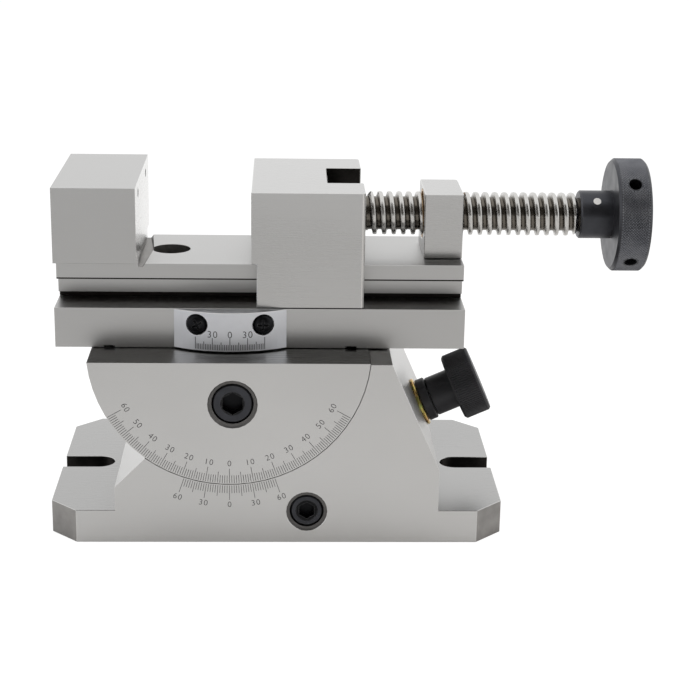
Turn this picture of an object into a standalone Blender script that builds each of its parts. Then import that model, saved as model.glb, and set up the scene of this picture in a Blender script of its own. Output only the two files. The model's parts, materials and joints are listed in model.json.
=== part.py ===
"""Sine tilting vise: a precision vise that swivels on a cradle, which tilts in a base.

Frame: +Z up, front towards -Y, origin on the base's underside below the crossing of
the tilt axis and the swivel axis. Lengths are in metres and angles in radians.
"""

import math

import bmesh
import bpy
from mathutils import Matrix, Vector

# Shared clearances and facet counts
GAP = 0.0003
OVERRUN = 0.003
MERGE = 0.000001
FILL_SCALE = 1000
ARC_STEP = math.radians(6)
FLAT_ANGLE = math.radians(0.1)
FINE_FACETS = 40
ROUND_FACETS = 24
SMALL_FACETS = 12

# Base block with its lugs
BASE_LEFT = 0.0729
BASE_RIGHT = 0.1115
BASE_DEPTH = 0.110
BASE_CORNER = 0.011
LUG_HEIGHT = 0.0138
LUG_SLOT_WIDTH = 0.0127
LEFT_SLOT_LENGTH = 0.0217
RIGHT_SLOT_LENGTH = 0.0217
LEFT_WALL = 0.0462
LEFT_WALL_TOP = 0.0239
RIGHT_WALL = 0.0846
RIGHT_WALL_TOP = 0.0312
PILLAR_DROP = 0.0003
FACE_LEAN = math.radians(24)
MAX_TILT = math.radians(45)

# Cradle, a half round block that tilts in the base's seat
TILT_AXIS_HEIGHT = 0.0815
CRADLE_RADIUS = 0.0562
CRADLE_DROP = 0.0052
SWIVEL_LOCK_DROP = 0.0172
SWIVEL_LOCK_SHIFT = 0.0013

# Worm drive: how far the wheel's sector stands out of the cradle, its teeth, and the worm
WHEEL_STANDOFF = 0.0068
WHEEL_TEETH = 72
TEETH_BEFORE = 11
TEETH_AFTER = 1
WORM_PITCH_RADIUS = 0.006
WORM_CREST_RADIUS = 0.0074
WORM_ROOT_RADIUS = 0.0038
WORM_TURNS = 3
WORM_STEPS = 12
RIDGE_SHARE = 0.39
TOOTH_SHARE = 0.43
FLANK_LEAN = math.radians(20)
TOOTH_DEPTH = 0.0017
SECTOR_STEM_DEPTH = 0.0062
SECTOR_WIDTH = 0.010
FLANGE_WIDTH = 0.020
FLANGE_STANDOFF = 0.0038
FLANGE_THICKNESS = 0.0026
FLANGE_ROOTING = 0.0005
GROOVE_END = math.radians(50)
GROOVE_MARGIN = math.radians(1.2)
SECTOR_SCREW_X = 0.021
SECTOR_SCREW_SINK = 0.022
SECTOR_SCREW_BITE = 0.0024

# Worm shaft along its own axis, measured from the point nearest the tilt axis
JOURNAL_RADIUS = 0.003
JOURNAL_LENGTH = 0.009
JOURNAL_BUSH_WALL = 0.0015
SHAFT_RADIUS = 0.005
THRUST_COLLAR_RADIUS = 0.0074
THRUST_COLLAR_LENGTH = 0.0037
BUSH_RADIUS = 0.0089
BUSH_LENGTH = 0.0152
BUSH_FLANGE_RADIUS = 0.0105
BUSH_FLANGE = 0.0010
COLLAR_RADIUS = 0.00925
COLLAR_LENGTH = 0.004
KNOB_HUB_RADIUS = 0.0085
KNOB_HUB_LENGTH = 0.0101
KNOB_RADIUS = 0.01445
KNOB_LENGTH = 0.0117
KNOB_CHAMFER = 0.0008
KNOB_BORE_DEPTH = 0.0129
KNOB_PIN_RADIUS = 0.00125

# Vise body: block, undercut, web and the flange that guides the jaw
VISE_LEFT = 0.0705
VISE_RIGHT = 0.0948
VISE_WIDTH = 0.070
BLOCK_HEIGHT = 0.0164
UNDERCUT_HEIGHT = 0.0025
UNDERCUT_WIDTH = 0.032
WEB_HEIGHT = 0.0068
WEB_WIDTH = 0.039
RAIL_HEIGHT = 0.0066
RAIL_WIDTH = 0.050
FOOT_HEIGHT = 0.0024
JAW_HEIGHT = 0.0306
FIXED_FACE = 0.0373
RELIEF_WIDTH = 0.0043
RELIEF_DEPTH = 0.0014
FACE_HOLE_RADIUS = 0.0019
FACE_HOLE_DEPTH = 0.006
FACE_HOLE_SPREAD = 0.040
FACE_HOLE_DROP = 0.005
RING_INNER = 0.058
RING_OUTER = 0.062
RING_DEPTH = 0.0008

# Swivel spindle under the vise body
SPINDLE_RADIUS = 0.012
SPINDLE_LENGTH = 0.028
SPINDLE_FLANGE_RADIUS = 0.0317
SPINDLE_FLANGE = 0.0067
SPINDLE_NECK_RADIUS = 0.0108
RAIL_HOLE_SPREAD = 0.051
RAIL_HOLE_RADIUS = 0.008
RAIL_HOLE_FLOOR = 0.014

# Nut block and its bronze nut
NUT_LENGTH = 0.0158
NUT_WIDTH = 0.030
NUT_HEIGHT = 0.0273
NUT_CORNER = 0.0015
NUT_RADIUS = 0.0102
NUT_SCREW_SPREAD = 0.021
NUT_SCREW_FLOOR = 0.020
NUT_SCREW_BITE = 0.0062

# Index plate on the front of the vise body
PLATE_RADIUS = 0.042
PLATE_SCREW_SPREAD = 0.0266
PLATE_SCREW_DROP = 0.0053
PLATE_SCREW_FLOOR = 0.0025
PLATE_SCREW_LENGTH = 0.008

# Moving jaw with its keepers
JAW_OPENING = 0.0457
JAW_LENGTH = 0.0454
JAW_RECESS = 0.0022
MOVING_JAW_DROP = 0.0012
JAW_CHAMFER = 0.0010
SKIN = 0.0025
KEEPER_INNER = 0.0003
KEEPER_SCREW_Y = 0.0286
KEEPER_SCREW_INSET = 0.010
KEEPER_SCREW_LENGTH = 0.012
POCKET_LENGTH = 0.0147
POCKET_WIDTH = 0.031
POCKET_FLOOR = 0.004
RETAINER_THICKNESS = 0.005
RETAINER_RISE = 0.009
RETAINER_SCREW_Y = 0.0115
RETAINER_SCREW_RISE = 0.005
RETAINER_SCREW_LENGTH = 0.010

# Clamp screw, lengths measured from the moving jaw's working face
SCREW_HEIGHT = 0.0484
SCREW_PITCH = 0.004
SCREW_CREST_RADIUS = 0.009
SCREW_ROOT_RADIUS = 0.0069
SCREW_TURNS = 22
SCREW_STEPS = 12
SCREW_ROOT_SHARE = 0.62
SCREW_CREST_SHARE = 0.34
NOSE_RADIUS = 0.006
NOSE_LENGTH = 0.0086
NECK_RADIUS = 0.005
SCREW_COLLAR_RADIUS = 0.0085
SCREW_COLLAR_LENGTH = 0.0104
THREAD_LENGTH = 0.0886
BUTTON_THICKNESS = 0.003
HUB_RADIUS = 0.010
HUB_LENGTH = 0.0134
WHEEL_RADIUS = 0.0235
WHEEL_LENGTH = 0.0137
WHEEL_CHAMFER = 0.001
TOMMY_RADIUS = 0.00265
TOMMY_DEPTH = 0.012
TOMMY_COUNT = 4
SCREW_CLOCK = math.radians(45)
WHEEL_PIN_RADIUS = 0.00165

# Lock screws
LOCK_SINK = 0.001
SWIVEL_PAD_LENGTH = 0.004
TILT_LOCK_DROP = 0.0059
TILT_LOCK_SHIFT = 0.0008
TILT_LOCK_LENGTH = 0.024
TILT_PAD_RADIUS = 0.006
TILT_PAD_END = 0.003

# Socket head screws: thread radius, head radius, head height, socket flats, socket depth
M3 = (0.0015, 0.00275, 0.0030, 0.0025, 0.0015)
M4 = (0.0020, 0.0035, 0.0040, 0.003, 0.0020)
M5 = (0.0025, 0.00425, 0.0050, 0.004, 0.0025)
M6 = (0.0030, 0.0050, 0.0060, 0.005, 0.0030)
M8 = (0.0040, 0.0065, 0.0080, 0.006, 0.0042)
M10 = (0.0050, 0.0080, 0.0100, 0.008, 0.0050)
HEAD_ROOM = 0.0013
LOCK_HEAD_ROOM = 0.0004
LOCK_RING_WIDTH = 0.0018
LOCK_RING_DEPTH = 0.0008
HEAD_EDGE_SHARE = 0.08
PAN_HEAD_RADIUS = 0.004
PAN_HEAD_HEIGHT = 0.0026
PAN_SLOT = 0.0009
PAN_SLOT_DEPTH = 0.0012

# Heights and places that follow from the sizes above
CRADLE_TOP = TILT_AXIS_HEIGHT - CRADLE_DROP
WEB_BOTTOM = BLOCK_HEIGHT + UNDERCUT_HEIGHT
RAIL_BOTTOM = WEB_BOTTOM + WEB_HEIGHT
RAIL_TOP = RAIL_BOTTOM + RAIL_HEIGHT
JAW_BOTTOM = RAIL_TOP + FOOT_HEIGHT
JAW_TOP = JAW_BOTTOM + JAW_HEIGHT
MOVING_JAW_TOP = JAW_TOP - MOVING_JAW_DROP
SECTOR_STEM_RADIUS = CRADLE_RADIUS - SECTOR_STEM_DEPTH
SECTOR_SCREW_TIP = math.sqrt((CRADLE_RADIUS + SECTOR_SCREW_BITE) ** 2 - SECTOR_SCREW_X ** 2)
SECTOR_SCREW_LENGTH = SECTOR_SCREW_TIP - CRADLE_DROP - SECTOR_SCREW_SINK - M6[2]
FLANGE_RADIUS = CRADLE_RADIUS + FLANGE_STANDOFF
WHEEL_PITCH_RADIUS = CRADLE_RADIUS + WHEEL_STANDOFF
WORM_MODULE = 2 * WHEEL_PITCH_RADIUS / WHEEL_TEETH
WHEEL_ROOT_RADIUS = WHEEL_PITCH_RADIUS - TOOTH_DEPTH
WHEEL_TIP_RADIUS = WHEEL_PITCH_RADIUS + WORM_MODULE
WORM_PITCH = math.pi * WORM_MODULE
WORM_CENTRE = WHEEL_PITCH_RADIUS + WORM_PITCH_RADIUS
WORM_HALF = (WORM_TURNS + 1) * WORM_PITCH / 2
TOOTH_ANGLE = 2 * math.pi / WHEEL_TEETH
FACE_REACH = (RIGHT_WALL * math.cos(FACE_LEAN)
              + (RIGHT_WALL_TOP - TILT_AXIS_HEIGHT) * math.sin(FACE_LEAN))
NECK_START = JAW_LENGTH - POCKET_LENGTH
COLLAR_START = NECK_START + RETAINER_THICKNESS + 3 * GAP
THREAD_START = COLLAR_START + SCREW_COLLAR_LENGTH
HUB_START = THREAD_START + THREAD_LENGTH
WHEEL_START = HUB_START + GAP + HUB_LENGTH
WHEEL_END = WHEEL_START + WHEEL_LENGTH
SWIVEL_LOCK_LENGTH = (BASE_DEPTH / 2 - SPINDLE_NECK_RADIUS - LOCK_SINK - M10[2]
                      - SWIVEL_PAD_LENGTH - 2 * GAP)

# Colour, roughness and metallic value of each finish
GROUND_STEEL = ("ground_steel", (0.62, 0.62, 0.60), 0.25, 1.0)
BRIGHT_STEEL = ("bright_steel", (0.66, 0.66, 0.65), 0.20, 1.0)
BLACK_OXIDE = ("black_oxide", (0.035, 0.035, 0.038), 0.35, 0.8)
BRONZE = ("bronze", (0.55, 0.36, 0.16), 0.35, 1.0)
YELLOW_ZINC = ("yellow_zinc", (0.75, 0.55, 0.22), 0.25, 1.0)

PLANES = {
    "XY": Matrix.Identity(3),
    "XZ": Matrix(((1, 0, 0), (0, 0, -1), (0, 1, 0))),
    "YZ": Matrix(((0, 0, 1), (1, 0, 0), (0, 1, 0))),
}
HEAD_DOWN = Matrix.Rotation(math.pi, 4, "X")
HEAD_FRONT = Matrix.Rotation(math.pi / 2, 4, "X")
HEAD_RIGHT = Matrix.Rotation(math.pi / 2, 4, "Y")


# Scene helpers

def clear_scene():
    """Remove whatever the open scene holds."""
    for item in list(bpy.data.objects):
        bpy.data.objects.remove(item, do_unlink=True)
    for group in list(bpy.data.collections):
        bpy.data.collections.remove(group)


def collection(name):
    """Return a new collection linked to the scene."""
    group = bpy.data.collections.new(name)
    bpy.context.scene.collection.children.link(group)
    return group


def finish_material(finish):
    """Return the Principled BSDF material of one finish."""
    name, colour, roughness, metallic = finish
    material = bpy.data.materials.get(name)
    if material is None:
        material = bpy.data.materials.new(name)
        material.use_nodes = True
        shader = material.node_tree.nodes["Principled BSDF"]
        shader.inputs["Base Color"].default_value = (*colour, 1.0)
        shader.inputs["Roughness"].default_value = roughness
        shader.inputs["Metallic"].default_value = metallic
    return material


def pivot(name, parent, matrix):
    """Place an empty on a joint's axis, which carries the pieces that move with it."""
    empty = bpy.data.objects.new(name, None)
    bpy.data.collections["sine_tilting_vise"].objects.link(empty)
    empty.parent = parent
    empty.matrix_local = matrix
    bpy.context.view_layer.update()
    return empty


def piece(name, mesh, finish, parent):
    """Put a mesh in the model as one sub-part, shaded smooth up to its sharp edges."""
    mesh.name = name
    mesh.materials.clear()
    mesh.materials.append(finish_material(finish))
    mesh.shade_smooth()
    mesh.set_sharp_from_angle(angle=math.radians(30))
    item = bpy.data.objects.new(name, mesh)
    bpy.data.collections["sine_tilting_vise"].objects.link(item)
    item.parent = parent
    bpy.context.view_layer.update()
    return item


def shape_with(target, mesh, operation):
    """Change a piece with a Boolean whose other shape lies in the piece's own frame."""
    tool = bpy.data.objects.new(target.name + "_tool", mesh)
    bpy.data.collections["cutters"].objects.link(tool)
    tool.parent = target.parent
    tool.hide_render = True
    tool.display_type = "WIRE"
    modifier = target.modifiers.new(tool.name, "BOOLEAN")
    modifier.operation = operation
    modifier.object = tool
    bpy.context.view_layer.update()


def cut(target, *meshes):
    """Take shapes out of a piece."""
    for mesh in meshes:
        shape_with(target, mesh, "DIFFERENCE")


def fuse(target, *meshes):
    """Join shapes to a piece."""
    for mesh in meshes:
        shape_with(target, mesh, "UNION")


# Shape helpers, each of which returns a closed mesh

def evaluated_mesh(item):
    """Return the mesh that an object has with its modifiers, and remove the object."""
    bpy.context.scene.collection.objects.link(item)
    bpy.context.view_layer.update()
    graph = bpy.context.evaluated_depsgraph_get()
    mesh = bpy.data.meshes.new_from_object(item.evaluated_get(graph))
    bpy.data.objects.remove(item, do_unlink=True)
    return mesh


def mesh_from(work):
    """Turn a bmesh into a mesh with its faces pointing out."""
    bmesh.ops.recalc_face_normals(work, faces=work.faces)
    mesh = bpy.data.meshes.new("shape")
    work.to_mesh(mesh)
    work.free()
    return mesh


def box(low, high):
    """A box between two corners."""
    low = Vector(low)
    high = Vector(high)
    work = bmesh.new()
    size = Matrix.Diagonal((*(high - low), 1))
    bmesh.ops.create_cube(work, size=1, matrix=Matrix.Translation((low + high) / 2) @ size)
    return mesh_from(work)


def cylinder(radius, start, end, facets=ROUND_FACETS):
    """A cylinder along Z."""
    work = bmesh.new()
    bmesh.ops.create_cone(work, cap_ends=True, segments=facets, radius1=radius, radius2=radius,
                          depth=end - start, matrix=Matrix.Translation((0, 0, (start + end) / 2)))
    return mesh_from(work)


def turned(profile, facets=ROUND_FACETS):
    """A solid of revolution about Z from (radius, z) points, top to bottom.

    A profile that starts on the axis also ends there. Any other one is closed into a ring.
    """
    line = bpy.data.meshes.new("profile")
    count = len(profile)
    edges = [(index, (index + 1) % count) for index in range(count - (profile[0][0] == 0))]
    line.from_pydata([(radius, 0, z) for radius, z in profile], edges, [])
    item = bpy.data.objects.new("profile", line)
    screw = item.modifiers.new("turn", "SCREW")
    screw.angle = 2 * math.pi
    screw.steps = facets
    screw.render_steps = facets
    screw.use_merge_vertices = True
    screw.merge_threshold = MERGE
    return evaluated_mesh(item)


def prism(outline, start, end, plane="XY"):
    """An outline in a plane, extruded from start to end along that plane's normal.

    The outline is filled at a larger scale, because small curves fill badly.
    """
    curve = bpy.data.curves.new("outline", "CURVE")
    curve.dimensions = "2D"
    curve.fill_mode = "BOTH"
    curve.extrude = FILL_SCALE * (end - start) / 2
    line = curve.splines.new("POLY")
    line.points.add(len(outline) - 1)
    for point, (across, up) in zip(line.points, outline):
        point.co = (FILL_SCALE * across, FILL_SCALE * up, 0, 1)
    line.use_cyclic_u = True
    mesh = evaluated_mesh(bpy.data.objects.new("outline", curve))
    work = bmesh.new()
    work.from_mesh(mesh)
    bmesh.ops.scale(work, vec=(1 / FILL_SCALE,) * 3, verts=work.verts)
    bmesh.ops.remove_doubles(work, verts=work.verts, dist=MERGE)
    bmesh.ops.dissolve_limit(work, angle_limit=FLAT_ANGLE, verts=work.verts, edges=work.edges)
    turn = PLANES[plane]
    normal = Vector((0, 1, 0)) if plane == "XZ" else turn @ Vector((0, 0, 1))
    middle = normal * (start + end) / 2
    bmesh.ops.transform(work, matrix=Matrix.Translation(middle) @ turn.to_4x4(), verts=work.verts)
    return mesh_from(work)


def helix_ridge(root_radius, crest_radius, root_width, crest_width, pitch, turns, steps):
    """A right-hand trapezoid ridge about Z, centred on the origin, its ends closed."""
    sunk = root_radius - GAP
    corners = ((sunk, root_width / 2), (crest_radius, crest_width / 2),
               (crest_radius, -crest_width / 2), (sunk, -root_width / 2))
    line = bpy.data.meshes.new("ridge")
    start = -turns * pitch / 2
    line.from_pydata([(radius, 0, start + z) for radius, z in corners],
                     [(0, 1), (1, 2), (2, 3), (3, 0)], [])
    item = bpy.data.objects.new("ridge", line)
    screw = item.modifiers.new("turn", "SCREW")
    screw.angle = 2 * math.pi
    screw.screw_offset = pitch
    screw.iterations = turns
    screw.steps = steps
    screw.render_steps = steps
    work = bmesh.new()
    work.from_mesh(evaluated_mesh(item))
    bmesh.ops.holes_fill(work, edges=work.edges, sides=len(corners))
    return mesh_from(work)


def placed(mesh, matrix):
    """Move a mesh within its own frame."""
    mesh.transform(matrix)
    return mesh


def place(x, y, z):
    """A move."""
    return Matrix.Translation((x, y, z))


def arc(radius, start, end, centre=(0, 0)):
    """Points on an arc, with angles measured from straight down towards +X."""
    steps = max(1, math.ceil(abs(end - start) / ARC_STEP - MERGE))
    angles = [start + (end - start) * step / steps for step in range(steps + 1)]
    return [(centre[0] + radius * math.sin(a), centre[1] - radius * math.cos(a)) for a in angles]


def ring_part(inner, outer, start, end):
    """The outline of a part of a ring between two angles."""
    return arc(outer, start, end) + arc(inner, end, start)


def chamfer_wedge(x, y, leg, start, end):
    """A prism that takes the vertical edge at (x, y) off a block centred on the origin."""
    out_x = math.copysign(OVERRUN, x)
    out_y = math.copysign(OVERRUN, y)
    leg_x = math.copysign(leg, x)
    leg_y = math.copysign(leg, y)
    outline = [(x + out_x, y + out_y), (x + out_x, y - leg_y - out_y), (x - leg_x - out_x, y + out_y)]
    return prism(outline, start, end)


# Fasteners

def screw_set(name, mesh, places, parent):
    """Put one screw at each named place, as its own object with a shared mesh."""
    for label, matrix in places.items():
        item = piece(f"{name}_{label}", mesh, BLACK_OXIDE, parent)
        item.matrix_local = matrix


def socket_screw(size, length, facets=SMALL_FACETS):
    """A socket head screw along -Z with the top of its head at the origin."""
    thread, head, height, flats, depth = size
    edge = head * HEAD_EDGE_SHARE
    profile = [(0, 0), (head - edge, 0), (head, -edge), (head, -height), (thread, -height),
               (thread, -height - length), (0, -height - length)]
    item = bpy.data.objects.new("screw", turned(profile, facets))
    socket = cylinder(flats / math.sqrt(3), -depth, OVERRUN, 6)
    tool = bpy.data.objects.new("socket", socket)
    bpy.context.scene.collection.objects.link(tool)
    modifier = item.modifiers.new("socket", "BOOLEAN")
    modifier.operation = "DIFFERENCE"
    modifier.object = tool
    mesh = evaluated_mesh(item)
    bpy.data.objects.remove(tool, do_unlink=True)
    return mesh


def pan_screw(thread, length):
    """A pan head screw along -Z with a cross recess and the top of its head at the origin."""
    edge = PAN_HEAD_RADIUS * HEAD_EDGE_SHARE
    profile = [(0, 0), (PAN_HEAD_RADIUS - 3 * edge, 0), (PAN_HEAD_RADIUS, -3 * edge),
               (PAN_HEAD_RADIUS, -PAN_HEAD_HEIGHT), (thread, -PAN_HEAD_HEIGHT),
               (thread, -PAN_HEAD_HEIGHT - length), (0, -PAN_HEAD_HEIGHT - length)]
    item = bpy.data.objects.new("screw", turned(profile, SMALL_FACETS))
    tools = []
    for reach_x, reach_y in ((PAN_HEAD_RADIUS / 2, PAN_SLOT / 2), (PAN_SLOT / 2, PAN_HEAD_RADIUS / 2)):
        bar = box((-reach_x, -reach_y, -PAN_SLOT_DEPTH), (reach_x, reach_y, OVERRUN))
        tool = bpy.data.objects.new("recess", bar)
        bpy.context.scene.collection.objects.link(tool)
        modifier = item.modifiers.new("recess", "BOOLEAN")
        modifier.operation = "DIFFERENCE"
        modifier.object = tool
        tools.append(tool)
    mesh = evaluated_mesh(item)
    for tool in tools:
        bpy.data.objects.remove(tool, do_unlink=True)
    return mesh


def screw_hole(size, sink, length, room=HEAD_ROOM, facets=SMALL_FACETS):
    """The counterbored hole along -Z of a screw whose head lies sunk below the origin."""
    thread, head, height, _, _ = size
    floor = -sink - height - GAP
    bore = thread + GAP
    return turned([(0, OVERRUN), (head + room, OVERRUN), (head + room, floor), (bore, floor),
                   (bore, floor - length), (0, floor - length)], facets)


def lock_ring(size):
    """The shallow spot face round a lock screw's counterbore."""
    return cylinder(size[1] + LOCK_RING_WIDTH, -LOCK_RING_DEPTH, OVERRUN, ROUND_FACETS)


# Base

def seat_ends():
    """Angles at which the round seat meets the left slope and the pillar's top."""
    seat = CRADLE_RADIUS + GAP
    right = math.acos((TILT_AXIS_HEIGHT - pillar_top()) / seat)
    corner = Vector((-LEFT_WALL, LEFT_WALL_TOP - TILT_AXIS_HEIGHT))
    along = Vector((math.cos(MAX_TILT), math.sin(MAX_TILT)))
    half = corner.dot(along)
    reach = -half - math.sqrt(half * half - corner.length_squared + seat * seat)
    meet = corner + along * reach
    return math.atan2(meet.x, -meet.y), right


def pillar_top():
    """Height of the pillar beside the cradle, just under the cradle's own top."""
    return CRADLE_TOP - PILLAR_DROP


def base_outline():
    """The base's outline seen from the front, with the seat that the cradle turns in."""
    left, right = seat_ends()
    pillar_edge = RIGHT_WALL - (pillar_top() - RIGHT_WALL_TOP) * math.tan(FACE_LEAN)
    seat = arc(CRADLE_RADIUS + GAP, right, left, (0, TILT_AXIS_HEIGHT))
    return [(-BASE_LEFT, 0), (BASE_RIGHT, 0), (BASE_RIGHT, LUG_HEIGHT), (RIGHT_WALL, LUG_HEIGHT),
            (RIGHT_WALL, RIGHT_WALL_TOP), (pillar_edge, pillar_top()), *seat,
            (-LEFT_WALL, LEFT_WALL_TOP), (-LEFT_WALL, LUG_HEIGHT), (-BASE_LEFT, LUG_HEIGHT)]


def lug_slot(end, length):
    """A slot with a round end, open at the end of a lug."""
    radius = LUG_SLOT_WIDTH / 2
    side = math.copysign(1, end)
    centre = end - side * (length - radius)
    turns = [math.pi * step / SMALL_FACETS for step in range(SMALL_FACETS + 1)]
    round_end = [(centre - side * radius * math.sin(a), radius * math.cos(a)) for a in turns]
    outer = end + side * OVERRUN
    return prism([(outer, radius), *round_end, (outer, -radius)], -OVERRUN, LUG_HEIGHT + OVERRUN)


def worm_bore():
    """The stepped bore for the worm, its end bush and its flanged bush, along the worm's axis."""
    journal = JOURNAL_RADIUS + JOURNAL_BUSH_WALL + 2 * GAP
    worm = WORM_CREST_RADIUS + 2 * GAP
    bush = BUSH_RADIUS + GAP
    bush_floor = FACE_REACH - BUSH_LENGTH - GAP
    worm_floor = -WORM_HALF - 2 * GAP
    end = worm_floor - JOURNAL_LENGTH - 2 * GAP
    return turned([(0, FACE_REACH + OVERRUN), (bush, FACE_REACH + OVERRUN), (bush, bush_floor),
                   (worm, bush_floor), (worm, worm_floor), (journal, worm_floor),
                   (journal, end), (0, end)], ROUND_FACETS)


def worm_matrix():
    """Place of the worm's frame: Z along the worm, X away from the tilt axis."""
    foot = (WORM_CENTRE * math.sin(FACE_LEAN), 0,
            TILT_AXIS_HEIGHT - WORM_CENTRE * math.cos(FACE_LEAN))
    return place(*foot) @ Matrix.Rotation(math.pi / 2 - FACE_LEAN, 4, "Y")


def tilt_lock_matrix():
    """Place of the tilt lock screw: on the base's front, below the worm, Z out of the hole."""
    below = worm_matrix() @ Vector((TILT_LOCK_DROP, 0, TILT_LOCK_SHIFT))
    return place(below.x, -BASE_DEPTH / 2, below.z) @ HEAD_FRONT


def make_base():
    """The base block: lugs, seat, tee groove for the wheel sector, worm bore and lock bore."""
    base = piece("base", prism(base_outline(), -BASE_DEPTH / 2, BASE_DEPTH / 2, "XZ"),
                 GROUND_STEEL, None)
    for x in (-BASE_LEFT, BASE_RIGHT):
        for y in (-BASE_DEPTH / 2, BASE_DEPTH / 2):
            cut(base, chamfer_wedge(x, y, BASE_CORNER, -OVERRUN, LUG_HEIGHT + OVERRUN))
    cut(base, lug_slot(-BASE_LEFT, LEFT_SLOT_LENGTH), lug_slot(BASE_RIGHT, RIGHT_SLOT_LENGTH))
    cut(base, placed(worm_bore(), worm_matrix()))
    cut(base, placed(tilt_lock_hole(), tilt_lock_matrix()), placed(lock_ring(M8), tilt_lock_matrix()))
    stop = FACE_LEAN + TOOTH_ANGLE * TEETH_AFTER + TOOTH_ANGLE / 2 + MAX_TILT + GROOVE_MARGIN
    raised = place(0, 0, TILT_AXIS_HEIGHT)
    teeth = ring_part(CRADLE_RADIUS - OVERRUN, WHEEL_TIP_RADIUS + 2 * GAP, -GROOVE_END, stop)
    half = SECTOR_WIDTH / 2 + GAP
    cut(base, placed(prism(teeth, -half, half, "XZ"), raised))
    flange = ring_part(FLANGE_RADIUS - GAP, FLANGE_RADIUS + FLANGE_THICKNESS + GAP, -GROOVE_END, stop)
    half = FLANGE_WIDTH / 2 + GAP
    cut(base, placed(prism(flange, -half, half, "XZ"), raised))
    return base


def tilt_lock_hole():
    """The hole for the tilt lock: counterbore, thread, and a wider bore for the pad."""
    head = M8[1] + LOCK_HEAD_ROOM
    head_floor = -LOCK_SINK - M8[2] - GAP
    thread = M8[0] + GAP
    pad = TILT_PAD_RADIUS + GAP
    end = TILT_PAD_END - BASE_DEPTH / 2
    return turned([(0, OVERRUN), (head, OVERRUN), (head, head_floor), (thread, head_floor),
                   (thread, tilt_pad_start()), (pad, tilt_pad_start()), (pad, end), (0, end)])


def tilt_pad_start():
    """Where the tilt lock pad begins, behind the tip of its screw."""
    return -LOCK_SINK - M8[2] - TILT_LOCK_LENGTH - GAP


def make_tilt_lock():
    """The brass pad on the worm and the socket screw that presses it."""
    end = TILT_PAD_END - BASE_DEPTH / 2 + GAP
    pad = placed(cylinder(TILT_PAD_RADIUS, end, tilt_pad_start() - GAP), tilt_lock_matrix())
    pad = piece("tilt_lock_pad", pad, BRONZE, None)
    round_worm = cylinder(WORM_CREST_RADIUS + GAP, -WORM_HALF - OVERRUN, WORM_HALF + OVERRUN)
    cut(pad, placed(round_worm, worm_matrix()))
    screw_pivot = pivot("tilt_lock_pivot", None, tilt_lock_matrix())
    screw = placed(socket_screw(M8, TILT_LOCK_LENGTH, ROUND_FACETS), place(0, 0, -LOCK_SINK))
    piece("tilt_lock_screw", screw, BLACK_OXIDE, screw_pivot)


# Cradle

def sector_range():
    """Angles of the wheel sector's ends, from straight down."""
    low = FACE_LEAN - TOOTH_ANGLE * (TEETH_BEFORE + 1 / 2)
    high = FACE_LEAN + TOOTH_ANGLE * (TEETH_AFTER + 1 / 2)
    return low, high


def make_cradle(tilt):
    """The half round block, with the spindle's bore, the lock's bore and the sector's keyway."""
    edge = math.acos(CRADLE_DROP / CRADLE_RADIUS)
    block = prism(arc(CRADLE_RADIUS, -edge, edge), -BASE_DEPTH / 2, BASE_DEPTH / 2, "XZ")
    cradle = piece("cradle", block, GROUND_STEEL, tilt)
    top = -CRADLE_DROP
    cut(cradle, cylinder(SPINDLE_RADIUS + GAP, top - SPINDLE_LENGTH - GAP, top + OVERRUN))
    bore_length = BASE_DEPTH / 2 - LOCK_SINK - M10[2]
    lock = screw_hole(M10, LOCK_SINK, bore_length, LOCK_HEAD_ROOM, ROUND_FACETS)
    cut(cradle, placed(lock, swivel_lock_matrix()), placed(lock_ring(M10), swivel_lock_matrix()))
    low, high = sector_range()
    keyway = ring_part(SECTOR_STEM_RADIUS - GAP, CRADLE_RADIUS + OVERRUN,
                       low - GROOVE_MARGIN, high + GROOVE_MARGIN)
    half = SECTOR_WIDTH / 2 + GAP
    cut(cradle, prism(keyway, -half, half, "XZ"))
    for x in (-SECTOR_SCREW_X, SECTOR_SCREW_X):
        hole = screw_hole(M6, SECTOR_SCREW_SINK, SECTOR_SCREW_LENGTH)
        cut(cradle, placed(hole, place(x, 0, top)))
    return cradle


def tooth_outline():
    """The toothed ring part: a stem, and teeth that stand out of it towards the worm."""
    low, high = sector_range()
    width = WORM_PITCH * TOOTH_SHARE
    lean = math.tan(FLANK_LEAN)
    root_half = (width / 2 + TOOTH_DEPTH * lean) / WHEEL_ROOT_RADIUS
    tip_half = (width / 2 - WORM_MODULE * lean) / WHEEL_TIP_RADIUS
    points = arc(SECTOR_STEM_RADIUS, high, low)
    points += arc(WHEEL_ROOT_RADIUS, low, low)[:1]
    for tooth in range(-TEETH_BEFORE, TEETH_AFTER + 1):
        middle = FACE_LEAN + TOOTH_ANGLE * tooth
        for radius, angle in ((WHEEL_ROOT_RADIUS, middle - root_half), (WHEEL_TIP_RADIUS, middle - tip_half),
                              (WHEEL_TIP_RADIUS, middle + tip_half), (WHEEL_ROOT_RADIUS, middle + root_half)):
            points.append((radius * math.sin(angle), -radius * math.cos(angle)))
    points += arc(WHEEL_ROOT_RADIUS, high, high)[:1]
    return points


def skewed(mesh):
    """Lean the teeth by the worm's lead, so that they lie along its ridge."""
    lead = WORM_PITCH / (2 * math.pi * WORM_PITCH_RADIUS)
    for vertex in mesh.vertices:
        turn = Matrix.Rotation(vertex.co.y * lead / WHEEL_PITCH_RADIUS, 3, "Y")
        vertex.co = turn @ vertex.co
    return mesh


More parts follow.
